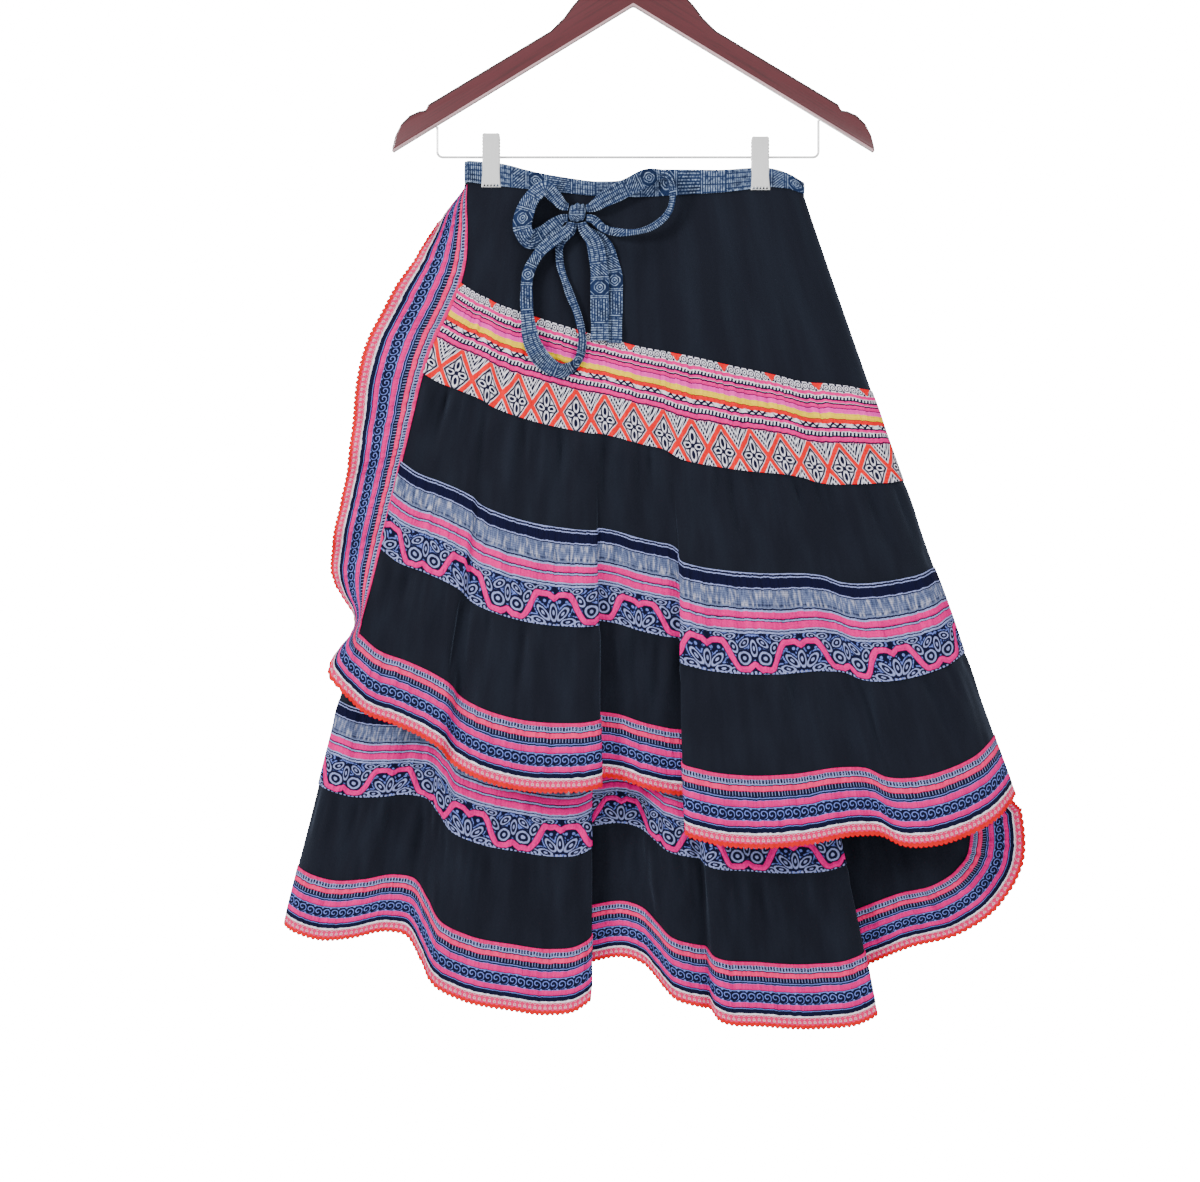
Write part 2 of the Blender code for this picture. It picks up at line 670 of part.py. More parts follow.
def build_arms(collection):
    """The wooden arms: a flat outline, mirrored, with rounded edges."""
    right = [(c.x, c.drop) for c in ARM_OUTLINE]
    left = [(-x, drop) for x, drop in reversed(right[1:-1])]
    outline = right + left
    mesh = bpy.data.meshes.new("hanger_arms")
    shape = bmesh.new()
    front = [shape.verts.new((x * MM, -ARM_THICKNESS / 2 * MM, -drop * MM)) for x, drop in outline]
    face = shape.faces.new(front)
    grown = bmesh.ops.extrude_face_region(shape, geom=[face])
    moved = [v for v in grown["geom"] if isinstance(v, bmesh.types.BMVert)]
    bmesh.ops.translate(shape, verts=moved, vec=(0.0, ARM_THICKNESS * MM, 0.0))
    bmesh.ops.recalc_face_normals(shape, faces=shape.faces)
    shape.to_mesh(mesh)
    shape.free()
    thing = place("hanger_arms", mesh, "dark_wood", collection)
    rounding = thing.modifiers.new("round", "BEVEL")
    rounding.width = ARM_ROUND * MM
    rounding.segments = 2
    rounding.limit_method = "ANGLE"
    rounding.angle_limit = math.radians(60)


def wire(name, route, radius, finish, collection):
    """A round wire along a route of (x, drop) places in the plane of the hanger."""
    curve = bpy.data.curves.new(name, "CURVE")
    curve.dimensions = "3D"
    curve.bevel_depth = radius * MM
    curve.bevel_resolution = 2
    curve.use_fill_caps = True
    spline = curve.splines.new("POLY")
    spline.points.add(len(route) - 1)
    for point, (x, drop) in zip(spline.points, route):
        point.co = (x * MM, 0.0, -drop * MM, 1.0)
    thing = bpy.data.objects.new(name, curve)
    curve.materials.append(material(finish))
    collection.objects.link(thing)
    return thing


def arc(centre_x, centre_drop, radius, first, last, steps):
    """Places round part of a circle; angles in degrees from +X, up is 90."""
    angles = np.radians(np.linspace(first, last, steps + 1))
    return [(centre_x + radius * math.cos(a), centre_drop - radius * math.sin(a)) for a in angles]


def build_hook(collection):
    """The hook: a shank that swings out to one side and over the rail."""
    centre_drop = HOOK_RADIUS - HOOK_WIRE
    shank_top = centre_drop + HOOK_RADIUS + SHANK
    route = [(0.0, NECK_TOP - SEAM), (0.0, shank_top), (SHANK_BEND, shank_top - SHANK / 2)]
    route += arc(0.0, centre_drop, HOOK_RADIUS, HOOK_START, HOOK_TIP, HOOK_STEPS)
    wire("hook", route, HOOK_WIRE, "bright_metal", collection)


def build_bar(collection):
    """The clip bar: a bent wire whose ends enter the arms from below."""
    left, right = BAR_ENDS
    left_top = ARM_APEX + ARM_SLOPE * (BAR_WIRE - left) + SEAM
    right_top = ARM_APEX + ARM_SLOPE * (BAR_WIRE + right) + SEAM
    bend_drop = BAR_DROP - BAR_BEND
    route = [(left, left_top)]
    route += arc(left + BAR_BEND, bend_drop, BAR_BEND, 180, 270, 4)
    route += arc(right - BAR_BEND, bend_drop, BAR_BEND, 270, 360, 4)
    route += [(right, right_top)]
    wire("clip_bar", route, BAR_WIRE, "bright_metal", collection)


def build_clip(clip, collection):
    """A sprung clip: two plates joined by a web that rides on the bar."""
    inside = CLIP_JAW
    outside = CLIP_JAW + CLIP_PLATE
    web_low = BAR_DROP - BAR_WIRE - SEAM
    web_high = web_low - CLIP_WEB
    half = [
        (inside, web_low),
        (inside, clip.bottom),
        (outside, clip.bottom),
        (outside, clip.top),
        (inside, clip.top),
        (inside, web_high),
    ]
    profile = half + [(-y, drop) for y, drop in reversed(half)]
    mesh = bpy.data.meshes.new(clip.name)
    shape = bmesh.new()
    start = (clip.x - CLIP_WIDTH / 2) * MM
    side = [shape.verts.new((start, y * MM, -drop * MM)) for y, drop in profile]
    face = shape.faces.new(side)
    grown = bmesh.ops.extrude_face_region(shape, geom=[face])
    moved = [v for v in grown["geom"] if isinstance(v, bmesh.types.BMVert)]
    bmesh.ops.translate(shape, verts=moved, vec=(CLIP_WIDTH * MM, 0.0, 0.0))
    bmesh.ops.recalc_face_normals(shape, faces=shape.faces)
    shape.to_mesh(mesh)
    shape.free()
    place(clip.name, mesh, "bright_metal", collection)


def build():
    clear_scene()
    collection = bpy.data.collections.new("wrap_skirt_on_clip_hanger")
    bpy.context.scene.collection.children.link(collection)
    wrap = Wrap(FRONT + RIGHT_SIDE + BACK + LEFT_SIDE + INNER, COLUMN)
    build_waistband(wrap, collection)
    build_tiers(wrap, collection)
    build_border(wrap, collection)
    for name, stops in TIES.items():
        ribbon(name, stops, wrap, collection)
    build_knot(wrap, collection)
    build_arms(collection)
    build_hook(collection)
    build_bar(collection)
    for clip in CLIPS:
        build_clip(clip, collection)


build()
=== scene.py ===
import math
from collections import namedtuple
from functools import partialmethod

import bmesh
import bpy
import numpy as np
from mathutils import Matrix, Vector


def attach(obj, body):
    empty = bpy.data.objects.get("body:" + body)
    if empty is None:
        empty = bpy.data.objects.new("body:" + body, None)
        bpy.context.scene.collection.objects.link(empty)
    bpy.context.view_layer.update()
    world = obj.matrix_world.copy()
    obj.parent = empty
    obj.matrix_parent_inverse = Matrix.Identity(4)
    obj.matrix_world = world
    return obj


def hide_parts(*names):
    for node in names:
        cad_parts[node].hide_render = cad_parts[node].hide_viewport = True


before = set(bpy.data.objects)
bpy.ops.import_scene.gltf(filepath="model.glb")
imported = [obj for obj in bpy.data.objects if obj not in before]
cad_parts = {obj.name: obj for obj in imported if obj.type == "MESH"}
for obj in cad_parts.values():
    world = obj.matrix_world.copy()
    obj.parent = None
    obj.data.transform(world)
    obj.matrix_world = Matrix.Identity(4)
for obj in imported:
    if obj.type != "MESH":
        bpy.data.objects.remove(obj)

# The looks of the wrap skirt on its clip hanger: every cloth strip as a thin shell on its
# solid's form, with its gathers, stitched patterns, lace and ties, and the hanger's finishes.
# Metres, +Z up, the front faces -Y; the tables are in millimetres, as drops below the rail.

MM = 0.001
SMOOTH_BELOW = math.radians(50)
SEED = 11

# The cloth. Lengths are in millimetres.
COLUMN = 2.4                # widest spacing of a strip's columns along the hem
CLOTH = 0.9                 # thickness of a strip
BAND_STANDS = 0.9           # how far a stitched band lies in front of the black cloth
TUCK = 2.5                  # how far the black cloth runs on under a band
FLARE = 1.02                # how late the sides swing out, going down
FOLD_START = 0.35           # share of the way down at which the folds begin
PULL_END = 0.36             # share of the way down at which the free edge is held in no more
LACE_WIDTH = 12.0
BORDER_WIDTH = 50.0
WAISTBAND = 1.6             # thickness of the folded waistband
WAIST_LAP = 0.6             # how far the waistband runs down over the yoke's top edge
WAIST_BLUR = 25             # columns over which its upper edge is evened out
LACE = 1.0                  # thickness of the lace
BORDER_UNDER = 1.6          # how far the border runs on under the cloth above it
LACE_UNDER = 0.12           # share of its own width that the lace runs on under the border
BLACK_SPREAD = 1.5          # relief is full where columns lie this far apart, and less nearer
BORDER_SPREAD = 2.5
FREE_BLUR = 15              # columns over which the free edges' flutter starts
EDGE_PLACES = 80            # places up a free edge at which it is looked up
YOKE_ROWS = 26
TIER_ROWS = 18
WAISTBAND_ROWS = 7
BORDER_ROWS = 10
LACE_ROWS = 5


def table_of(kind, *rows):
    """Rows of a table, each a named tuple of one kind."""
    return tuple(kind(*row) for row in rows)


# The strips over the border, from the lowest up.
Tier = namedtuple("Tier", "name height slot_name")
TIERS = table_of(
    Tier,
    ("lower_tier", 90, "black_cotton"), ("batik_band", 90, "blue_batik"),
    ("middle_tier", 92, "black_cotton"), ("upper_band", 95, "pink_batik"),
)

# Upper and lower edge of the waistband across the front, as drops below the rail.
Waist = namedtuple("Waist", "x top bottom")
WAIST = table_of(
    Waist,
    (-157, 250.5, 269.5), (-121, 253.5, 274), (-84, 263, 278), (-40, 270, 282.5), (-13, 270, 283.5),
    (3, 265.5, 284), (26, 259, 283), (83, 259.5, 279.5), (108, 257.5, 276.5), (127, 257.5, 274.5),
    (143, 262.5, 276), (157, 271.5, 281),
)

# One row for each fold line of the wrap, in the order in which the cloth runs: front layer
# from its free edge to the right side, back, left side, then the inner front layer.
# waist, waist_y: where the line starts under the waistband; hem, drop, depth: where it ends
# at the lace's lower edge; sink, shift: how far its fold moves it back and sideways there;
# yoke: length of the yoke down that line; trim: how far the panel's corner is cut up;
# turn: degrees by which the border turns outward round a corner; pull: how far the free
# edge is held in, at most, where it hangs straight under the waistband.
Fold = namedtuple(
    "Fold", "waist waist_y hem drop depth sink shift yoke trim turn pull", defaults=(0, 0, 0)
)
FRONT = table_of(
    Fold,
    (-153, -4, -264, 742, -32, 0, 0, 96, 0, 0, 15), (-142, -4, -245, 759, -35, 0, 0, 100, 0, 0, 11),
    (-130, -4, -216, 770, -38, 0, 0, 104, 0, 0, 6), (-120, -4, -190, 782, -40, -2, 0, 107, 0, 0, 3),
    (-114, -4, -176, 791, -41, -3, 0, 109), (-110, -4, -168, 802, -41, 6, 0, 110.5),
    (-103, -4, -145, 816, -42, -5, 0, 113), (-81, -4, -104, 828, -43, -8, 0, 119),
    (-60, -4, -65, 830, -43, -11, 0, 124.5), (-46, -4, -40, 828, -43, -9, 0, 128),
    (-40, -4, -32, 825, -43, -4, 2, 129.5), (-34, -4, -29, 818, -43, 10, -4, 131),
    (-22, -4, -16, 819, -42, 14, 0, 133.5), (-5, -4, 12, 828, -42, 13, 0, 138),
    (8, -4, 34, 833, -42, 13, 0, 141.5), (13, -4, 45, 838, -42, 12, 14, 143),
    (17, -4, 53, 848, -42, 5, 14, 144), (21, -4, 60, 858, -42, -5, -6, 145),
    (25, -4, 66, 867, -42, -11, -19, 146), (32, -4, 76, 875, -43, -14, -9, 148),
    (47, -4, 104, 880, -43, -13, 0, 153), (68, -4, 152, 878, -42, -8, 0, 162),
    (90, -4, 205, 870, -41, 0, 0, 172), (99, -4, 226, 871, -40, 4, 0, 177),
    (108, -4, 244, 879, -39, -4, 0, 182), (121, -4, 272, 879, -37, -7, 0, 187),
    (136, -4, 304, 870, -34, -3, 0, 190), (148, -4, 332, 855, -28, 0, 0, 192.5),
)
RIGHT_SIDE = table_of(
    Fold,
    (154, -2.9, 347, 840, -15, 0, 0, 193.5), (156.5, 0, 352, 835, 0, 0, 0, 194),
    (154, 2.9, 346, 840, 14, 0, 0, 195),
)
BACK = table_of(
    Fold,
    (143, 4, 318, 850, 24, 0, 0, 197), (120, 4, 275, 872, 28, -4, 0, 205),
    (95, 4, 225, 884, 29, 8, 0, 216), (66, 4, 160, 897, 30, -5, 0, 229), (36, 4, 98, 912, 30, 9, 0, 243),
    (6, 4, 36, 922, 30, -5, 0, 257), (-24, 4, -26, 934, 30, 8, 0, 271), (-54, 4, -92, 945, 30, -5, 0, 285),
    (-84, 4, -158, 955, 29, 8, 0, 299), (-112, 4, -222, 962, 27, -2, 0, 311),
    (-138, 4, -282, 962, 22, 0, 0, 321),
)
LEFT_SIDE = table_of(
    Fold,
    (-151, 3.6, -315, 958, 15, 0, 0, 325), (-154.5, 2, -323, 956, 6, 0, 0, 327),
    (-152, 0.4, -317, 960, -3, 0, 0, 328),
)
INNER = table_of(
    Fold,
    (-144, 0, -289, 969, -9, 0, 0, 330), (-131, 0, -260, 967, -13, 0, 0, 332),
    (-117, 0, -228, 961, -15, 5, 0, 334), (-108, 0, -210, 964, -16, 5, 0, 335.5),
    (-102, 0, -196, 985, -17, 0, 0, 336.5), (-96, 0, -184, 1008, -18, -5, 0, 337.5),
    (-84, 0, -158, 1022, -19, -7, 0, 339.5), (-65, 0, -113, 1031, -20, -8, 0, 342.5),
    (-50, 0, -78, 1035, -20, -8, 0, 345), (-42, 0, -58, 1031, -20, -8, 6, 346.5),
    (-37, 0, -48, 1020, -20, -4, 9, 347.5), (-32, 0, -40, 1007, -20, 3, -10, 348.5),
    (-27, 0, -32, 996, -20, 8, -24, 349.5), (-21, 0, -22, 988, -20, 12, -12, 350.5),
    (-12, 0, -6, 985, -20, 12, 0, 352), (-4, 0, 10, 991, -20, 8, 0, 353.5),
    (2, 0, 24, 1006, -20, 1, 0, 354.5), (8, 0, 38, 1021, -20, -6, 0, 356),
    (17, 0, 60, 1028, -20, -6, 0, 358), (22, 0, 71, 1031, -20, 0, 0, 359),
    (27, 0, 82, 1039, -20, -8, -5, 360), (40, 0, 122, 1046, -20, -8, 0, 364),
    (54, 0, 174, 1048, -19, -6, 0, 369), (63, 0, 206, 1043, -18, -5, 4, 372),
    (67, 0, 213, 1036, -17, -1, 10, 373), (71, 0, 219, 1024, -15, 6, -12, 373.5),
    (74, 0, 224, 1012, -13, 11, -34, 374), (78, 0, 230, 998, -10, 12, -22, 374),
    (81, 0, 240, 986, -8, 12, -6, 374), (84, 0, 258, 977, -6, 12, 0, 374),
    (88, 0, 296, 972, -4, 10, 0, 374, 4, 14), (91, 0, 322, 966, -3, 8, 0, 374, 14, 32),
    (94, 0, 338, 958, -2, 7, 0, 374, 26, 62), (95, 0, 346, 954, -2, 6, 0, 374, 42, 92),
)

# Rungs of the border up a free edge: where the rung starts on the panel's edge, as a drop,
# and how far out, down and back from there the lace's edge lies.
Rung = namedtuple("Rung", "drop out fall back")
FRONT_EDGE = table_of(
    Rung,
    (274, 12, 16, 0), (291, 25, 18, 0), (318, 39, 8, 0), (346, 50, 2, 0), (363.4, 56, -2, 0),
    (390, 60, -3, 0), (418, 62, 1, 0), (447.3, 60, 3, 0), (487.8, 55, 6, 0), (528.4, 50, 9, 0),
    (560, 49, 9, 1), (596, 47, 8, 4), (630, 40, 2, 14), (649, 28, 1, 19), (661, 14, 5, 20),
    (670, 9, 8, 19), (676, 13, 16, 13), (680, 24, 26, 6), (683, 29, 40, 2),
)
INNER_EDGE = table_of(
    Rung,
    (855, 47, -10, 2), (820, 45, -2, 2), (760, 46, 0, 2), (690, 46, 0, 2), (620, 45, 0, 1),
    (550, 44, 0, 1), (480, 43, 0, 0), (420, 42, 0, 0), (365, 38, 3, 0), (325, 30, 8, 0), (298, 20, 14, 0),
)

# The ties. A stop is a place on a ribbon's middle line: out is how far it stands off the
# front layer, lean turns its face from the front (0) to edge-on (90).
Stop = namedtuple("Stop", "x drop out width lean")
KNOT = Stop(-51.5, 300, 6.7, 15.5, 0)
KNOT_HEIGHT = 16.5
KNOT_DEPTH = 9.4
TIES = {
    "tie_loop_left": (
        (-60, 295, 8.5, 6, 0), (-63, 294.4, 9.5, 7.5, 2), (-72, 286, 11, 12, 10), (-81, 278, 12, 16, 25),
        (-91, 285, 13, 18.5, 35), (-99, 299, 13, 19, 30), (-101.5, 316, 12, 19, 25),
        (-95.5, 325.5, 10, 18, 35), (-84, 320.5, 7, 16, 10), (-72, 310.5, 5, 12, 0),
        (-64, 304.8, 4.2, 7.5, 0), (-60, 304.5, 4, 6, 0),
    ),
    "tie_loop_right": (
        (-43, 296, 8.5, 6, 0), (-40, 295.6, 9, 7.5, 2), (-27, 288, 10, 14, 10), (-4, 276, 11, 17, 15),
        (18, 267, 12, 15, 30), (31, 267, 12, 11, 55), (36, 281, 12, 9, 55), (33, 299, 11, 7.5, 45),
        (19, 313, 11, 7, 40), (-4, 319, 11, 7, 30), (-27, 315, 9, 7.5, 10), (-39, 305.5, 8, 6.5, 2),
        (-43, 305, 7, 6, 0),
    ),
    "tie_hanging_loop": (
        (-57.5, 309.2, 8.5, 6, 0), (-58.2, 312.5, 9, 7, 2), (-70, 323, 9.8, 11, 5),
        (-85, 336, 9.5, 10.5, 5), (-96, 355, 8.5, 10, 5), (-98, 379, 8, 11, 5), (-96.5, 401, 8, 13, 8),
        (-92, 422, 8, 16, 15), (-81, 438, 8, 17, 20), (-65, 446, 6.5, 14, 35), (-52, 438, 5.5, 9, 30),
        (-47, 420, 4.5, 7.5, 15), (-50.5, 397, 4.2, 7, 10), (-60, 371, 4, 7, 10), (-67.5, 346, 4, 6.5, 8),
        (-67, 328, 4, 6.5, 5), (-54.2, 313.5, 4, 5.5, 2), (-53.2, 309.2, 4, 5, 0),
    ),
    "tie_tail_front": (
        (-47.5, 309.2, 7.5, 7, 0), (-46.8, 312.5, 7.3, 8, 0), (-37, 326, 7, 14, 0), (-32, 350, 6.5, 16, 0),
        (-31, 385, 6.5, 16.5, 0), (-31, 418, 6, 16.5, 0),
    ),
    "tie_tail_back": (
        (-46, 308.8, 4, 5, 0), (-44.8, 312.5, 3.6, 6, 0), (-28, 326, 3.2, 11, 0), (-19, 350, 3.2, 14, 0),
        (-17, 385, 3.2, 14, 0), (-18, 420, 3.2, 14, 0),
    ),
}
TIES = {name: table_of(Stop, *rows) for name, rows in TIES.items()}

# Creases put in one by one. x: where one crosses the middle of its strip, seen from the front;
# top, foot: where it begins and ends down the strip (0 to 1); depth: forward of the cloth,
# negative for a trough; width: half its breadth; lean: sideways run over the strip's height.
Crease = namedtuple("Crease", "x foot depth width lean top", defaults=(0, 0))
CREASES = {
    ("middle_tier", "front"): (
        (-193, 0.55, 2.2, 6, 2), (-180, 0.75, -2.8, 4, -4), (-168, 0.5, 2, 5), (-150, 0.35, -1.8, 4, 3),
        (-139, 0.8, -2.4, 4, 5), (-128, 0.4, 1.8, 6), (-113, 0.95, 2.6, 7, 2), (-100, 0.5, -2, 4, 2),
        (-84, 0.9, 1.8, 8, 4, 0.1), (-66, 0.6, -2.2, 4, 1), (-49, 1, 2.4, 7, -1), (-26, 0.9, -2.6, 4),
        (-14, 0.55, 2, 5, 1), (0, 0.9, 2.4, 7, 1), (16, 0.5, -2, 4), (31, 0.7, 1.8, 6, -1),
        (74, 0.45, 1.8, 5, 2), (95, 0.85, -2.6, 4, 2), (109, 0.6, 2, 6, 3), (123, 0.45, -1.8, 4, 4),
        (143, 0.9, 2, 8, 5), (158, 0.55, -2.2, 4, 5), (186, 0.75, -2, 5, 8), (208, 0.8, 2, 7, 10),
        (230, 0.9, -1.8, 5, 10, 0.1),
    ),
    ("lower_tier", "front"): (
        (-236, 0.6, 2, 7, -2), (-213, 0.45, -2, 4, -4), (-190, 0.8, 2, 7), (-161, 1, -3, 5, -6),
        (-148, 0.8, 2.6, 7, -4), (-134, 0.45, -1.8, 4), (-104, 0.8, -2.4, 4, -5), (-90, 0.9, 2.4, 8, -3),
        (-72, 0.4, -1.8, 4), (-58, 0.7, -2.2, 4, -4), (-44, 0.9, 2, 8, -2, 0.1), (-12, 0.6, 2, 5, -3),
        (0, 0.85, -2.4, 4, -4), (20, 0.9, -2.6, 5, -10), (34, 0.7, 2, 6, -6), (72, 0.5, 2.2, 7, 2),
        (97, 0.4, -1.6, 4), (136, 0.6, 2, 6, 2), (150, 0.55, -2, 4, 3), (165, 0.85, 2, 8, 3),
        (192, 0.5, 2, 6, 3), (217, 0.9, -2.8, 5, 6), (229, 0.7, 2, 6, 6), (250, 0.4, -1.8, 4, 4),
        (283, 0.85, -2, 5, 12), (300, 0.9, 2, 8, 14),
    ),
    ("lower_tier", "inner"): (
        (-297, 0.8, 2, 8, -4), (-262, 0.45, -1.8, 5, -3), (-238, 0.9, 2, 8), (-205, 0.9, 2.4, 6, -4),
        (-196, 0.9, -2.4, 5, -3, 0.1), (-176, 0.55, -2, 4, 2), (-155, 0.9, 2.4, 8, 3), (-133, 0.5, -2, 4),
        (-112, 0.9, 1.8, 8, 2, 0.1), (-88, 0.45, -1.8, 4), (-66, 0.8, 2, 7), (2, 0.7, -2.4, 5, 8),
        (20, 0.9, 2.2, 7, 8), (48, 0.45, -2, 4, 4), (106, 0.55, 2.4, 6, 2), (122, 0.7, -2.4, 4, 6),
        (139, 0.85, 2.2, 7, 6), (165, 0.45, -1.8, 4), (190, 0.9, 1.8, 8, 4, 0.1), (250, 0.8, -2.2, 5, -8),
        (272, 0.7, 2, 7, -8), (295, 0.5, -1.6, 5, -6),
    ),
    ("middle_tier", "inner"): (
        (-240, 0.6, 2, 7), (-200, 0.8, -2.2, 5, -3), (-160, 0.9, 2.2, 7, 2), (-110, 0.5, -2, 5),
        (-60, 0.8, 2, 7), (20, 0.6, -2, 5, 3), (90, 0.9, 2.2, 7, 3), (150, 0.6, -2, 5, 3),
    ),
    ("middle_tier", "back"): (
        (232, 0.7, 2, 7, 6), (205, 0.9, -2.4, 5, 4), (180, 0.5, 2, 6, 2), (148, 0.9, -2.2, 5, 3),
        (126, 0.6, 2.2, 7), (94, 0.8, -2.6, 5, 2), (66, 0.9, 2, 8, 0, 0.1), (31, 0.5, -2, 4),
        (5, 0.9, 2.2, 7, -2), (-22, 0.6, -2, 5), (-48, 0.95, 2.4, 8, -3), (-83, 0.5, -2.2, 4, -2),
        (-108, 0.8, 2, 7, -4), (-141, 0.9, -2.4, 5, -4), (-170, 0.6, 2, 7, -6), (-205, 0.8, -2, 5, -6),
    ),
    ("lower_tier", "back"): (
        (285, 0.8, 2, 8, 8), (250, 0.6, -2.2, 5, 6), (214, 0.9, 2.2, 8, 4), (181, 0.5, -2.2, 5, 4),
        (150, 0.9, -2.4, 5, 3), (118, 0.7, 2.2, 7), (80, 0.9, -2.4, 5), (52, 0.5, 2, 6),
        (14, 0.9, 2.4, 8, -2), (-20, 0.6, -2.2, 5, -2), (-61, 0.85, 2, 7, -3), (-96, 0.9, -2.4, 5, -5),
        (-131, 0.5, 2, 6, -3), (-174, 0.8, -2.2, 5, -6), (-215, 0.9, 2.2, 8, -8), (-256, 0.7, -2, 5, -8),
    ),
    ("yoke", "front"): (
        (-116, 1, 1, 12, -4, 0.3), (-72, 0.5, -0.8, 9, -2), (-12, 1, 1.2, 14, 0, 0.2),
        (38, 0.7, -1, 10, 3), (66, 1, 1.4, 14, 5, 0.3), (97, 1, -1.6, 9, 14), (118, 1, 1.5, 12, 22, 0.1),
        (150, 1, -1.2, 9, 24, 0.4),
    ),
    ("yoke", "back"): (
        (130, 1, 1.4, 12, 20, 0.1), (92, 0.8, -1.4, 10, 8), (50, 0.9, 1.2, 12, 4, 0.1), (4, 0.7, -1.2, 10),
        (-40, 1, 1.4, 13, -4, 0.2), (-88, 0.9, -1.4, 10, -8), (-128, 1, 1.2, 12, -16, 0.2),
    ),
}
CREASES = {place: table_of(Crease, *rows) for place, rows in CREASES.items()}

LAYERS = {"front": FRONT, "right": RIGHT_SIDE, "back": BACK, "left": LEFT_SIDE, "inner": INNER}
RELIEF = 1.4                # how strongly the creases of the tables are raised

# Slow uneven waves along the strips: how far they reach out, and their greatest length. The
# first is the flutter of the border's free edges.
Wave = namedtuple("Wave", "size longest")
EDGE_WAVE = Wave(7.0, 90.0)
BORDER_WAVE = Wave(0.8, 50.0)
BAND_WAVE = Wave(0.9, 60.0)
BAND_RIPPLE = Wave(0.7, 24.0)
LACE_WAVE = Wave(1.2, 26.0)
SINES = 5                   # that make up one wave

# Small gathers that spread from a seam, drawn at random: their spacing, depth and length.
Gathers = namedtuple("Gathers", "least most depth reach")
TOP_GATHERS = Gathers(6.0, 15.0, 2.1, 0.55)
LOW_GATHERS = Gathers(8.0, 20.0, 1.5, 0.3)
BAND_GATHERS = Gathers(5.0, 16.0, 1.0, 0.8)


def smoothstep(low, high, value):
    share = np.clip((value - low) / (high - low), 0.0, 1.0)
    return share * share * (3.0 - 2.0 * share)


def refine(rows, stations, spacing):
    """Run a smooth curve through table rows; return the rows at about even spacing."""
    rows = np.array(rows, dtype=float)
    step = np.diff(stations)
    rate = np.diff(rows, axis=0) / step[:, None]
    slope = np.empty_like(rows)
    slope[0] = rate[0]
    slope[-1] = rate[-1]
    before = step[:-1, None]
    after = step[1:, None]
    slope[1:-1] = (rate[:-1] * after + rate[1:] * before) / (before + after)
    result = [rows[0]]
    for index, width in enumerate(step):
        count = max(1, int(math.ceil(width / spacing)))
        for number in range(1, count + 1):
            s = number / count
            result.append(
                (2 * s**3 - 3 * s**2 + 1) * rows[index]
                + (s**3 - 2 * s**2 + s) * width * slope[index]
                + (3 * s**2 - 2 * s**3) * rows[index + 1]
                + (s**3 - s**2) * width * slope[index + 1]
            )
    return np.array(result)


def run_along(line):
    """Distance along a line of points at each point."""
    steps = np.linalg.norm(np.diff(line, axis=0), axis=1)
    return np.concatenate([[0.0], np.cumsum(steps)])


def middle_run(grid):
    """Distance along a strip's middle line."""
    return run_along(grid[len(grid) // 2])


def shares(grid):
    """Share of the way down a strip at each row of its grid."""
    return np.linspace(0.0, 1.0, len(grid))[:, None]


def full_turn(sides):
    """Angles once round, evenly spaced."""
    return np.linspace(0.0, 2 * math.pi, sides, endpoint=False)


def unit(vectors):
    return vectors / np.linalg.norm(vectors, axis=-1, keepdims=True)


def blurred(values, width):
    """Values evened out over a width of places."""
    window = np.hanning(width)
    return np.convolve(np.pad(values, width // 2, mode="edge"), window / window.sum(), mode="valid")


def grid_of(x, y, z):
    """Grid of points from three arrays of coordinates that spread over rows and columns."""
    return np.stack(np.broadcast_arrays(x, y, z), axis=-1)


def along_hem(folds):
    """Distance along the hem at which each fold line ends."""
    ends = [(f.hem + f.shift, f.depth + f.sink, -f.drop, 0.5 * f.waist) for f in folds]
    return run_along(np.array(ends))


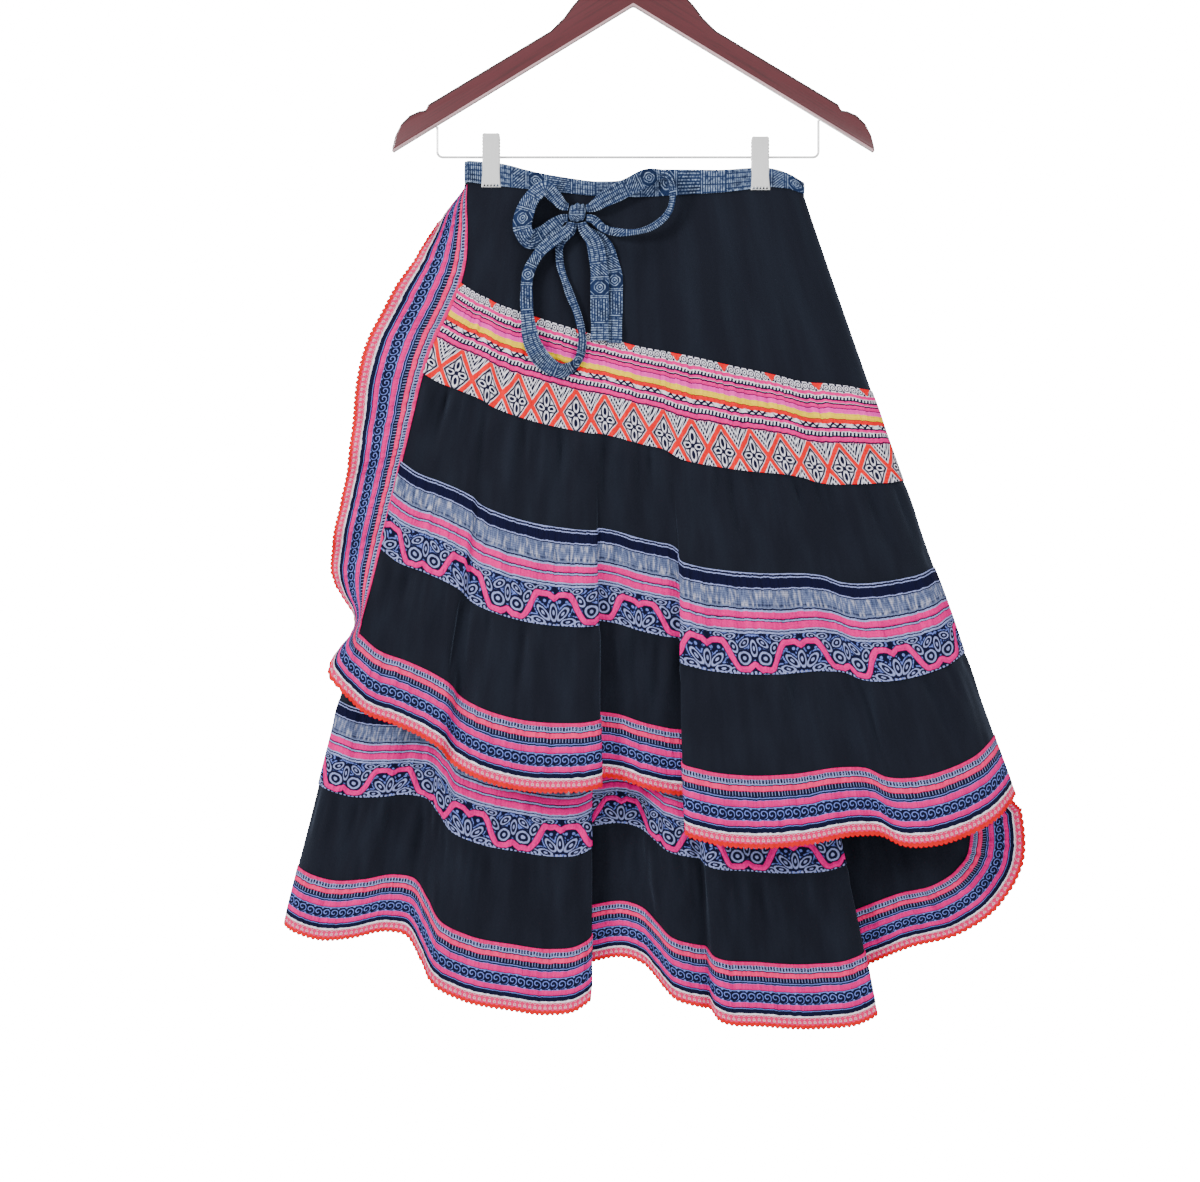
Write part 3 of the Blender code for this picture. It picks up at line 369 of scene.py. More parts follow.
class Wrap:
    """The skirt's middle surface: columns along the cloth, heights up each column."""

    def __init__(self, spacing):
        folds = sum(LAYERS.values(), ())
        stations = along_hem(folds)
        rows = np.column_stack([np.array(folds, dtype=float), stations])
        table = refine(rows, stations, spacing)
        self.fold = Fold(*table.T[:-1])
        station = table[:, -1]
        self.layers = {}
        first = 0
        for name, part in LAYERS.items():
            last = first + len(part) - 1
            inside = (station >= stations[first] - 0.01) & (station <= stations[last] + 0.01)
            self.layers[name] = np.flatnonzero(inside)
            first = last + 1
        self.waist_drop = np.interp(self.fold.waist, [w.x for w in WAIST], [w.bottom for w in WAIST])
        rise = self.fold.drop - self.waist_drop
        self.length = np.hypot(self.fold.hem - self.fold.waist, rise)

    def at_share(self, share):
        """Points at a share of the way from the waist (0) to the lace's edge (1)."""
        fold = self.fold
        grown = smoothstep(FOLD_START, 1.0, share)
        held = np.clip(share / PULL_END, 0.0, 1.0)
        x = fold.waist + (fold.hem - fold.waist) * np.clip(share, 0, None) ** FLARE
        x = x + fold.shift * grown + fold.pull * 16 * (held * (1 - held)) ** 2
        y = fold.waist_y + fold.depth * share + fold.sink * grown
        drop = self.waist_drop + (fold.drop - self.waist_drop) * share
        return np.stack([x, y, -drop], axis=-1)

    def at_height(self, height):
        """Points at a height above the lace's lower edge, measured along the cloth."""
        return self.at_share(1.0 - height / self.length)

    def seam_heights(self):
        """Heights of the seams above the lace's edge, from the border's top upward."""
        full = LACE_WIDTH + BORDER_WIDTH + sum(tier.height for tier in TIERS)
        share = (self.length - self.fold.yoke) / full
        heights = [(LACE_WIDTH + BORDER_WIDTH) * share]
        for tier in TIERS:
            heights.append(heights[-1] + tier.height * share)
        heights[0] = heights[0] + self.fold.trim
        return heights

    def depth_in_front(self, x, drop):
        """Depth of the front layer at a place seen from the front."""
        share = (drop - self.waist_drop) / (self.fold.drop - self.waist_drop)
        front = self.at_share(np.clip(share, 0.0, 1.0))[self.layers["front"]]
        order = np.argsort(front[:, 0])
        return float(np.interp(x, front[order, 0], front[order, 1]))


def facing(grid):
    """Unit normals of a grid of points, rows down and columns along the cloth."""
    normal = np.cross(np.gradient(grid, axis=0), np.gradient(grid, axis=1))
    size = np.linalg.norm(normal, axis=2, keepdims=True)
    return normal / np.maximum(size, 1e-9)


def raised(grid, relief):
    """A grid moved out along its normals."""
    return grid + facing(grid) * relief[:, :, None]


def spread(grid, full):
    """1 where a strip's columns lie at least so far apart, and less where they crowd."""
    return np.clip(np.linalg.norm(np.gradient(grid, axis=1), axis=2) / full, 0.0, 1.0)


def span(first, reach, rows):
    """A grid of points from one line, each column as far as its reach, in even rows."""
    return first + reach * np.linspace(0.0, 1.0, rows + 1)[:, None, None]


def thicken(grid, thickness):
    """Points and faces of a closed shell on a grid, and how many faces its front has."""
    rows, columns = grid.shape[:2]
    half = facing(grid) * thickness / 2
    under = rows * columns
    place = np.arange(under).reshape(rows, columns)
    quads = np.stack([place[:-1, :-1], place[1:, :-1], place[1:, 1:], place[:-1, 1:]], axis=-1)
    quads = quads.reshape(-1, 4)
    rim = np.concatenate([place[0], place[1:, -1], place[-1, -2::-1], place[-2::-1, 0]])
    edge = np.stack([rim[:-1], rim[1:], rim[1:] + under, rim[:-1] + under], axis=-1)
    faces = np.concatenate([quads, quads[:, ::-1] + under, edge])
    return np.concatenate([grid + half, grid - half]).reshape(-1, 3), faces, len(quads)


def add_object(name, data):
    """A new object of the scene, for a mesh, a lamp or a camera."""
    made = bpy.data.objects.new(name, data)
    bpy.context.scene.collection.objects.link(made)
    return made


def smooth_mesh(name, points, faces, finish, chart=None):
    """A smooth mesh of points in millimetres, with its finish and a map for each point."""
    mesh = bpy.data.meshes.new(name)
    mesh.from_pydata((points * MM).tolist(), [], faces)
    mesh.materials.append(finish)
    mesh.polygons.foreach_set("use_smooth", np.ones(len(faces), dtype=bool))
    if chart is not None:
        corners = np.empty(len(mesh.loops), dtype=np.int32)
        mesh.loops.foreach_get("vertex_index", corners)
        layer = mesh.uv_layers.new(name="strip")
        layer.uv.foreach_set("vector", chart[corners].astype(np.float32).ravel())
    return mesh


def dress(piece, node):
    """Let a piece ride on the hanger, and hide the CAD node that it stands for."""
    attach(piece, "root")
    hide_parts(node)


def build_cloth(looks, node, slot_name, grid, across, along, thickness=CLOTH, lined=False):
    """A thin closed shell on a grid of points, which stands for a solid of cloth.

    Its map says how far along and across it a place is: along is in millimetres, across
    runs from 0 at the first row to 1 at the last. A lined piece is black at its back.
    """
    points, faces, count = thicken(grid, thickness)
    chart = np.stack(np.broadcast_arrays(along * MM, across), axis=-1).reshape(-1, 2)
    mesh = smooth_mesh(
        node + "_cloth", points, faces.tolist(), looks[slot_name], np.tile(chart, (2, 1))
    )
    if lined:
        mesh.materials.append(looks["black_cotton"])
        side = np.zeros(len(faces), dtype=np.int32)
        side[count : 2 * count] = 1
        mesh.polygons.foreach_set("material_index", side)
    mesh.set_sharp_from_angle(angle=SMOOTH_BELOW)
    dress(add_object(node + "_cloth", mesh), node)


def add_creases(grid, wrap, name):
    """Relief of the creases that the tables give a strip."""
    middle = grid[len(grid) // 2]
    run = run_along(middle)
    share = shares(grid)
    relief = np.zeros(grid.shape[:2])
    for (strip, layer), creases in CREASES.items():
        if strip != name:
            continue
        columns = wrap.layers[layer]
        heading = np.sign(middle[columns[-1], 0] - middle[columns[0], 0])
        for crease in creases:
            nearest = columns[np.argmin(np.abs(middle[columns, 0] - crease.x))]
            away = run - run[nearest] - heading * crease.lean * (share - 0.5)
            rise = smoothstep(crease.top - 0.02, crease.top + 0.22, share)
            fall = 1.0 - smoothstep(crease.foot - 0.35, crease.foot + 0.02, share)
            relief += RELIEF * crease.depth * np.exp(-((away / crease.width) ** 2)) * rise * fall
    return relief


def add_gathers(grid, chance, gathers, from_top):
    """Relief of small gathers that spread from one seam of a strip."""
    run = middle_run(grid)
    share = shares(grid) if from_top else 1.0 - shares(grid)
    relief = np.zeros(grid.shape[:2])
    at = 0.0
    while at < run[-1]:
        at += chance.uniform(gathers.least, gathers.most)
        depth = gathers.depth * chance.uniform(0.3, 1.0) * chance.choice([-1.0, 1.0])
        reach = gathers.reach * chance.uniform(0.3, 1.6)
        width = chance.uniform(2.2, 5.0)
        lean = chance.uniform(-4.0, 4.0)
        near = np.flatnonzero(np.abs(run - at) < 4 * width + 8)
        away = run[near] - at - lean * share
        rise = smoothstep(-0.02, 0.14, share)
        fall = 1.0 - smoothstep(reach * 0.4, reach, share)
        relief[:, near] += depth * np.exp(-((away / width) ** 2)) * rise * fall
    return relief


def slow_wave(run, chance, wave):
    """Relief of a slow uneven wave along a strip, from a few sines."""
    relief = np.zeros_like(run)
    for _ in range(SINES):
        length = wave.longest * chance.uniform(0.35, 1.0)
        start = chance.uniform(0, 6.28)
        relief += wave.size / SINES * np.sin(2 * math.pi * run / length + start)
    return relief


# Colours of the photograph's cloth, as sRGB 0 to 255.
COLOURS = {
    "black": (10, 13, 25), "slate": (20, 25, 37), "magenta": (234, 0, 128), "pink": (244, 0, 136),
    "coral": (254, 30, 112), "crimson": (232, 0, 112), "orchid": (250, 60, 178), "yellow": (255, 214, 0),
    "brown": (128, 58, 30), "red_orange": (242, 2, 20), "white": (240, 236, 248),
    "light_blue": (112, 130, 212), "grey_blue": (150, 160, 214), "navy": (6, 8, 44),
    "ash": (110, 122, 160), "indigo": (24, 42, 78), "indigo_light": (154, 174, 204),
    "indigo_dark": (14, 23, 48), "salmon": (255, 30, 116), "lace_white": (255, 226, 236),
    # Wood: its ground; a dark colour for its grain, also painted shade on the hanger's upper rounded
    # edges; and a pale colour, a painted highlight on its lower rounded edges.
    "wood": (88, 27, 36), "wood_dark": (38, 10, 15), "wood_edge": (226, 186, 190),
    "metal": (255, 255, 255),
}


def linear(name):
    """A colour of the table as a shader wants it."""
    result = []
    for value in COLOURS[name]:
        share = value / 255
        low = share / 12.92
        high = ((share + 0.055) / 1.055) ** 2.4
        result.append(low if share <= 0.04045 else high)
    return (*result, 1.0)


class Signal:
    """A number that a material's nodes work out for each place on the cloth."""

    def __init__(self, socket):
        self.tree = socket.id_data
        self.socket = socket

    def work(self, operation, *others, clamp=False):
        node = self.tree.nodes.new("ShaderNodeMath")
        node.operation = operation
        node.use_clamp = clamp
        for socket, value in zip(node.inputs, (self, *others)):
            if isinstance(value, Signal):
                self.tree.links.new(value.socket, socket)
            else:
                socket.default_value = float(value)
        return Signal(node.outputs[0])

    __add__ = partialmethod(work, "ADD")
    __sub__ = partialmethod(work, "SUBTRACT")
    __mul__ = partialmethod(work, "MULTIPLY")
    __truediv__ = partialmethod(work, "DIVIDE")
    size = partialmethod(work, "ABSOLUTE")
    fraction = partialmethod(work, "FRACT")
    sine = partialmethod(work, "SINE")
    root = partialmethod(work, "SQRT")
    least = partialmethod(work, "MINIMUM")
    most = partialmethod(work, "MAXIMUM")

    def held(self, times=1.0):
        """The number, times another, held between 0 and 1."""
        return self.work("MULTIPLY", times, clamp=True)

    def local(self, pitch):
        """Distance from the nearest multiple of the pitch, with its sign."""
        return self.work("WRAP", pitch / 2, -pitch / 2)

    def below(self, high, soft=0.5):
        """1 below a value and 0 above it, with a soft edge."""
        return ((self - high) / -soft).work("ADD", 0.5, clamp=True)

    def within(self, low, high, soft=0.5):
        """1 between two values and 0 outside them, with soft edges."""
        return ((self - low) / soft).work("ADD", 0.5, clamp=True) * self.below(high, soft)

    def stripes(self, pitch, share, soft):
        """1 over the first share of every pitch and 0 over the rest of it."""
        return (self / pitch).fraction().below(share, soft)


def ellipse(x, y, centre_x, centre_y, half_x=1.0, half_y=1.0, turn=0.0):
    """Distance from an ellipse's centre, 1 on its outline."""
    angle = math.radians(turn)
    right = x - centre_x
    up = y - centre_y
    first = (right * (math.cos(angle) / half_x)) + (up * (math.sin(angle) / half_x))
    second = (up * (math.cos(angle) / half_y)) - (right * (math.sin(angle) / half_y))
    return (first * first + second * second).root()


def set_inputs(node, values):
    for name, value in values.items():
        node.inputs[name].default_value = value


class Look:
    """A material whose colour is painted in layers, on its chart: along and across."""

    def __init__(self, name, rough=0.85, metallic=0.0, gloss=0.15):
        self.made = bpy.data.materials.new(name)
        self.made.use_nodes = True
        self.tree = self.made.node_tree
        self.shader = self.tree.nodes["Principled BSDF"]
        set_inputs(self.shader, {"Roughness": rough, "Metallic": metallic, "Specular IOR Level": gloss})
        self.colour = None
        self.along = None
        self.across = None

    def add(self, kind, *sources, **settings):
        """A node with settings, whose first inputs come from these sockets."""
        node = self.tree.nodes.new(kind)
        for name, value in settings.items():
            setattr(node, name, value)
        for source, socket in zip(sources, node.inputs):
            self.tree.links.new(source, socket)
        return node

    def chart(self, unit, height):
        """How far along the strip, in chart units, and how far down it, on its height."""
        place = self.add("ShaderNodeUVMap", uv_map="strip")
        split = self.add("ShaderNodeSeparateXYZ", place.outputs[0])
        self.along = Signal(split.outputs[0]) * (1.0 / (unit * MM))
        self.across = Signal(split.outputs[1]) * height
        return self.along, self.across

    def place(self):
        """Where a place is in its object's frame: to the right and up, in metres."""
        coords = self.add("ShaderNodeTexCoord")
        split = self.add("ShaderNodeSeparateXYZ", coords.outputs["Object"])
        self.along = Signal(split.outputs[0])
        self.across = Signal(split.outputs[2])
        return self.along, self.across

    def noise(self, fine_along, fine_across, detail=2.0, rough=0.5):
        """Smooth noise from 0 to 1, finer along or across where a number is larger."""
        join = self.add(
            "ShaderNodeCombineXYZ", (self.along * fine_along).socket, (self.across * fine_across).socket
        )
        node = self.add("ShaderNodeTexNoise", join.outputs[0], noise_dimensions="2D")
        set_inputs(node, {"Scale": 1.0, "Detail": detail, "Roughness": rough})
        return Signal(node.outputs[0])

    def wander(self, fine_along, fine_across, reach):
        """Smooth noise to both sides of 0, as far as a reach."""
        return self.noise(fine_along, fine_across) * (2 * reach) - reach

    def fill(self, name):
        node = self.add("ShaderNodeRGB")
        node.outputs[0].default_value = linear(name)
        self.colour = node.outputs[0]

    def fill_stripes(self, signal, height, stops):
        """Stripes with hard edges, at places of a chart of that height."""
        node = self.add("ShaderNodeValToRGB", (signal / height).socket)
        node.color_ramp.interpolation = "CONSTANT"
        elements = node.color_ramp.elements
        elements.remove(elements[1])
        for number, (place, name) in enumerate(stops):
            element = elements[0] if number == 0 else elements.new(place / height)
            element.position = place / height
            element.color = linear(name)
        self.colour = node.outputs[0]

    def mix(self, **settings):
        """A node that lays a colour over what is there."""
        node = self.add("ShaderNodeMix", data_type="RGBA", **settings)
        self.tree.links.new(self.colour, node.inputs[6])
        self.colour = node.outputs[2]
        return node

    def paint(self, mask, name):
        """Lay a colour over what is there, where the mask is 1."""
        node = self.mix()
        self.tree.links.new(mask.socket, node.inputs[0])
        node.inputs[7].default_value = linear(name)

    def shade(self, signal):
        """Multiply the colour by a number for each place."""
        node = self.mix(blend_type="MULTIPLY")
        node.inputs[0].default_value = 1.0
        self.tree.links.new(signal.socket, node.inputs[7])

    def finish(self, bump, depth):
        """Join colour and relief to the shader; depth is in millimetres."""
        self.tree.links.new(self.colour, self.shader.inputs["Base Color"])
        node = self.add("ShaderNodeBump")
        set_inputs(node, {"Strength": 1.0, "Distance": depth * MM})
        self.tree.links.new(bump.socket, node.inputs["Height"])
        self.tree.links.new(node.outputs[0], self.shader.inputs["Normal"])
        return self.made


def weave(along, across, pitch):
    """Threads over and under, from 0 to 1."""
    warp = (along * (2 * math.pi / pitch)).sine()
    weft = (across * (2 * math.pi / pitch)).sine()
    return (warp * weft) * 0.5 + 0.5


COTTON_HEIGHT = 95.0        # height of the black strips' chart, in millimetres


def black_cotton():
    look = Look("black_cotton", rough=0.85)
    along, across = look.chart(1.0, COTTON_HEIGHT)
    look.fill("black")
    streaks = look.noise(0.05, 0.012, 3.0)
    look.paint((streaks - 0.38).held(2.0), "slate")
    fine = look.noise(0.9, 0.5, 3.0)
    look.shade(fine * 0.3 + 0.85)
    sheen = {"Sheen Weight": 0.16, "Sheen Roughness": 0.5, "Sheen Tint": (0.55, 0.7, 1.0, 1.0)}
    set_inputs(look.shader, sheen)
    return look.finish(weave(along, across, 1.1) * 0.4 + fine, 0.25)


# Stripes of the upper band, from its top down, in photograph pixels.
UPPER_HEIGHT = 100.0
UPPER_STRIPES = (
    (0, "white"), (8, "pink"), (11.5, "white"), (16, "pink"), (19, "white"), (20.7, "pink"), (24, "navy"),
    (25, "orchid"), (29.5, "yellow"), (35, "brown"), (35.8, "red_orange"), (39.5, "white"), (44, "pink"),
    (47.5, "white"), (53, "pink"), (56.5, "crimson"), (57.3, "pink"), (59, "white"),
)
UPPER_LINES = (16.0, 20.2, 44.2, 52.6, 58.4)
DASH_PITCH = 7.3
DIAMOND_TOP = 60.0
DIAMOND_HALF_X = 14.75
DIAMOND_HALF_Y = 24.5
PIXEL = 0.9156              # millimetres to a photograph pixel


def upper_band():
    look = Look("pink_batik", rough=0.82)
    along, across = look.chart(PIXEL, UPPER_HEIGHT)
    wobble = look.wander(0.06, 0.02, 1.2)
    pucker = look.noise(0.14, 0.012, 3.0, 0.6)
    down = across + wobble * 0.6 + pucker * 3.4 - 1.7
    look.fill_stripes(down, UPPER_HEIGHT, UPPER_STRIPES)
    # Dashes and swirls of the top row, with a red triangle after every few.
    ring = ellipse(along.local(DASH_PITCH), down, 0.0, 4.1)
    look.paint(ring.within(2.0, 3.1, 0.4) * down.within(0.4, 7.8), "navy")
    look.paint(ring.below(0.9, 0.4), "navy")
    dash = along.local(DASH_PITCH).size()
    between = ellipse(dash, down.local(7.6).size(), DASH_PITCH / 2, 0.4, 1.2, 1.6)
    look.paint(between.below(1.0, 0.3) * down.below(8.0), "navy")
    beside = along.local(51.0).size()
    look.paint((beside + down * 0.85).below(6.6) * down.below(7.6), "red_orange")
    # Comb ticks of the two white ribbons, and the squiggle between them.
    lean = along + down * 0.3
    tick = lean.stripes(3.6, 0.6, 0.16)
    uneven = look.wander(0.3, 0.05, 1.2)
    for top, foot in ((12.6, 16.6), (48.2, 52.4)):
        look.paint(tick * (down + uneven).within(top, foot), "navy")
    for line in UPPER_LINES:
        broken = (uneven + line * 0.02).within(-0.7, 9.0)
        look.paint((down - line).size().below(0.75, 0.3) * broken, "navy")
    squiggle = (down - 41.6 + (along * 0.9).sine() * 1.2).size()
    look.paint(squiggle.below(1.3) * (along * 0.23).sine().within(-0.7, 2.0), "navy")
    # The red lattice: a diamond's distance from its centre is 1 on its outline.
    side = (along + wobble).local(2 * DIAMOND_HALF_X)
    below_centre = down - (DIAMOND_TOP + DIAMOND_HALF_Y)
    out = side.size() / DIAMOND_HALF_X + below_centre.size() / DIAMOND_HALF_Y
    row = down.within(DIAMOND_TOP - 0.6, 200.0)
    corner = (out * 3.3).fraction()
    dashes = ((along + below_centre * 0.4) / 2.6).fraction().below(0.78, 0.2)
    chevron = corner.within(0.0, 0.66, 0.1) * out.within(1.24, 3.0, 0.05) * dashes
    upright = ellipse(side.size(), below_centre.size(), 0.0, 8.2, 3.2, 8.0)
    level = ellipse(side.size(), below_centre.size(), 5.4, 0.0, 4.6, 3.4)
    petals = upright.least(level)
    outline = petals.within(0.82, 1.36, 0.1) * out.below(0.8)
    seed = petals.below(0.5, 0.1)
    for mask in (chevron, outline, seed, out.below(0.12, 0.05), out.within(0.68, 0.79, 0.03)):
        look.paint(mask * row, "navy")
    look.paint(out.within(0.84, 1.17, 0.04) * row, "red_orange")
    fade = look.noise(0.5, 0.5, 3.0)
    # Faded dye at random, and painted light and shade of the puckers: lighter and darker with the pucker
    # noise, which also drives their bump.
    look.shade(fade * 0.4 + pucker * 0.7 + 0.48)
    ribs = (down * 1.75).sine() * 0.5 + (out - 1.0).size().below(0.18, 0.1) * row * 1.5
    return look.finish(ribs + fade + pucker * 9.0, 0.3)


# Stripes of the batik band, the same way.
BATIK_HEIGHT = 96.0
BATIK_STRIPES = (
    (0, "grey_blue"), (1, "navy"), (2.8, "grey_blue"), (4, "navy"), (13.6, "grey_blue"), (15, "navy"),
    (16, "ash"), (33.5, "navy"), (35, "grey_blue"), (37, "pink"), (43, "navy"), (43.9, "grey_blue"),
    (45.4, "navy"), (46.4, "pink"), (53.2, "grey_blue"), (54.6, "navy"), (55.6, "grey_blue"),
    (57.4, "navy"),
)
WAVE_PITCH = 92.0
WAVE_CREST = 66.0
WAVE_TROUGH = 91.5
DOTS_ALONG = 7.3
DOTS_DOWN = 8.1

# Petals under a crest and over a trough: away from the middle, down, half sizes and turn.
Petal = namedtuple("Petal", "away down half_x half_y turn")
UNDER_CREST = table_of(
    Petal,
    (0, 83.5, 3.4, 8, 0), (9.5, 84.5, 3.4, 8, 42), (14.5, 92, 3.2, 7, 76),
    (24, 93.5, 4, 3.4, 0),
)
OVER_TROUGH = table_of(
    Petal,
    (9.5, 81, 6, 6, 0), (0, 72, 3, 7.5, 0), (9, 66.5, 3, 6, -50),
    (20, 71, 3.6, 6.2, 30), (23, 61.5, 5.5, 2.6, 10), (34, 61, 5, 2.4, -8),
)


def wave_line(away):
    """Height of the pink cord in the batik band, from the distance to its nearest crest."""
    share = away / (WAVE_PITCH / 2)
    rise = ((share - 0.3) / 0.4).held()
    smooth = rise * rise * ((rise * -2.0) + 3.0)
    notch = (away / -5.5 + 1.0).held() * 3.6
    cusp = ((away - WAVE_PITCH / 2) / 6.0 + 1.0).held() * 4.2
    return smooth * (WAVE_TROUGH - WAVE_CREST) + notch - cusp + WAVE_CREST


def batik_band():
    look = Look("blue_batik", rough=0.86)
    along, across = look.chart(PIXEL, BATIK_HEIGHT)
    wobble = look.wander(0.05, 0.03, 1.0)
    ragged = look.wander(0.7, 0.7, 0.8)
    pucker = look.noise(0.12, 0.012, 3.0, 0.6)
    down = across + wobble + pucker * 2.4 - 1.2
    look.fill_stripes(down + ragged * 0.5, BATIK_HEIGHT, BATIK_STRIPES)
    streak = look.noise(0.36, 0.08, 3.0)
    wide = down.within(16.5, 32.5)
    threads = look.noise(1.6, 0.12)
    rows = down.stripes(2.1, 0.35, 0.3) * threads.within(0.42, 2.0, 0.1)
    look.paint(wide * (streak - 0.46).held(3.0) * 0.75, "indigo")
    look.paint(wide * (streak * -4.0 + 1.9).held() * 0.6, "white")
    look.paint(wide * rows * 0.45, "navy")
    look.paint(down.within(30.2, 31.1, 0.6) * (streak - 0.3).held(3.0), "navy")
    # Petals and circles, each with an echo line round it.
    side = (along + wobble * 2.0).local(WAVE_PITCH)
    away = side.size()
    level = down + ragged * 0.5
    motif = None
    for petal in UNDER_CREST:
        found = ellipse(away, level, *petal)
        motif = found if motif is None else motif.least(found)
    beyond = away * -1.0 + WAVE_PITCH / 2
    for petal in OVER_TROUGH:
        motif = motif.least(ellipse(beyond, level, *petal))
    floral = down.within(58.0, 300.0)
    broken = look.noise(0.35, 0.35).within(0.46, 2.0, 0.06)
    look.paint(floral * motif.within(1.46, 1.76, 0.16) * broken, "light_blue")
    for mask in (motif.within(0.76, 1.06, 0.12), motif.below(0.3, 0.12)):
        look.paint(floral * mask, "grey_blue")
    dots = ellipse(along.local(DOTS_ALONG), level.local(DOTS_DOWN), 0.0, 0.0, 1.5, 1.5).below(1.0, 0.4)
    look.paint(floral * dots * motif.within(1.9, 20.0, 0.2), "light_blue")
    edge = down.within(94.2, 300.0)
    look.paint(edge * along.stripes(4.0, 0.5, 0.3), "grey_blue")
    # The cord: its distance is measured square to the wave's slope.
    here = wave_line(away)
    slope = wave_line(away + 1.0) - here
    lie = (slope * slope + 1.0).root()
    distance = (down - here).size() / lie
    look.paint(distance.below(3.5, 0.6), "navy")
    look.paint(distance.below(2.7, 0.6), "pink")
    fade = look.noise(0.6, 0.6, 3.0)
    # Faded dye at random, and painted light and shade of the puckers: lighter and darker with the pucker
    # noise, which also drives their bump.
    look.shade(fade * 0.6 + pucker * 0.7 + 0.35)
    cord = (distance / -2.8 + 1.0).held()
    ribbons = down.within(37.4, 42.6, 1.5) + down.within(46.8, 52.8, 1.5)
    threads = weave(along, across, 1.2) * 0.4
    return look.finish((cord + ribbons) * 2.2 + threads + fade + pucker * 9.0, 0.4)


# Stripes of the border, from its inner edge out.
BORDER_HEIGHT = 54.6
BORDER_STRIPES = (
    (0, "crimson"), (3.5, "grey_blue"), (8.6, "navy"), (9.6, "coral"), (15, "grey_blue"), (18.8, "navy"),
    (20.2, "light_blue"), (21, "navy"), (22.4, "light_blue"), (23, "magenta"), (28.6, "navy"),
    (29.4, "light_blue"), (30.2, "navy"), (41.2, "light_blue"), (41.8, "magenta"), (46.5, "navy"),
    (47.7, "light_blue"), (48.4, "navy"), (52.8, "white"),
)

SPIRAL_PITCH = 8.2
SPIRAL_ROW = 35.8


def border_stripe():
    look = Look("border_stripe", rough=0.82)
    along, across = look.chart(PIXEL, BORDER_HEIGHT)
    wobble = look.wander(0.09, 0.03, 1.2)
    pucker = look.noise(0.15, 0.015, 3.0, 0.6)
    down = across + wobble * 0.6 + pucker * 2.0 - 1.0
    look.fill_stripes(down, BORDER_HEIGHT, BORDER_STRIPES)
    rough = look.noise(0.8, 0.8)
    ticks = ((along + wobble) / 3.1).fraction()
    row = down.within(3.8, 7.8) * rough.within(0.36, 2.0, 0.1)
    look.paint(ticks.below(0.68, 0.2) * row, "navy")
    look.paint(ticks.within(0.06, 0.9, 0.15) * down.within(14.6, 19.2), "navy")
    # Spirals, one to a pitch, from the angle and distance round each centre.
    side = along.local(SPIRAL_PITCH)
    up = down - SPIRAL_ROW
    distance = ellipse(side, up, 0.0, 0.0)
    angle = up.work("ARCTAN2", side) / (2 * math.pi)
    spiral = (distance / 3.5 - angle).fraction()
    look.paint(spiral.below(0.26, 0.1) * distance.within(0.7, 4.5, 0.4), "light_blue")
    corner = ellipse(side.size(), up.size(), SPIRAL_PITCH / 2, 5.0, 1.1, 0.8)
    look.paint(corner.below(1.0, 0.4), "light_blue")
    # Uneven tone at random, and painted light and shade of the puckers: lighter and darker with the pucker
    # noise, which also drives their bump.
    look.shade(rough * 0.4 + pucker * 0.8 + 0.43)
    ribs = down.within(10.2, 14.6, 1.4) + down.within(24.2, 27.8, 1.4) + down.within(42.4, 45.6, 1.4)
    seam = down.within(0.0, 3.0, 1.2) * 1.4
    return look.finish(ribs * 1.6 + seam + rough + pucker * 9.0, 0.35)


LACE_HEIGHT = 13.0
LACE_STRIPES = (
    (0, "white"), (1.2, "salmon"), (8.2, "coral"), (8.8, "red_orange"),
)
SCALLOP = 5.0               # pitch of the lace's scallops, in photograph pixels


def lace_red():
    look = Look("lace_red", rough=0.8)
    along, across = look.chart(PIXEL, LACE_HEIGHT)
    look.fill_stripes(across, LACE_HEIGHT, LACE_STRIPES)
    side = along.local(SCALLOP).size()
    zigzag = (across - 3.6 + side * 0.9).size()
    look.paint(zigzag.below(0.35, 0.5) * 0.7, "lace_white")
    ring = ellipse(side, across, 0.0, 6.4)
    look.paint(ring.within(0.8, 1.5, 0.4) * 0.85, "lace_white")
    knots = look.noise(1.3, 1.3)
    look.shade(knots * 0.4 + 0.84)
    return look.finish(zigzag.below(0.8, 1.2) * 1.5 + ring.below(1.6, 0.8) + knots * 2.0, 0.5)


BATIK_REPEAT = 131.0        # length of the tie cloth's repeat, in photograph pixels
BATIK_WIDTH = 20.0
OCTAGON = 70.0              # place of the octagon's middle in the repeat
BARS = (45.4, 59.6, 61.6, 78.6, 80.4, 105.6)


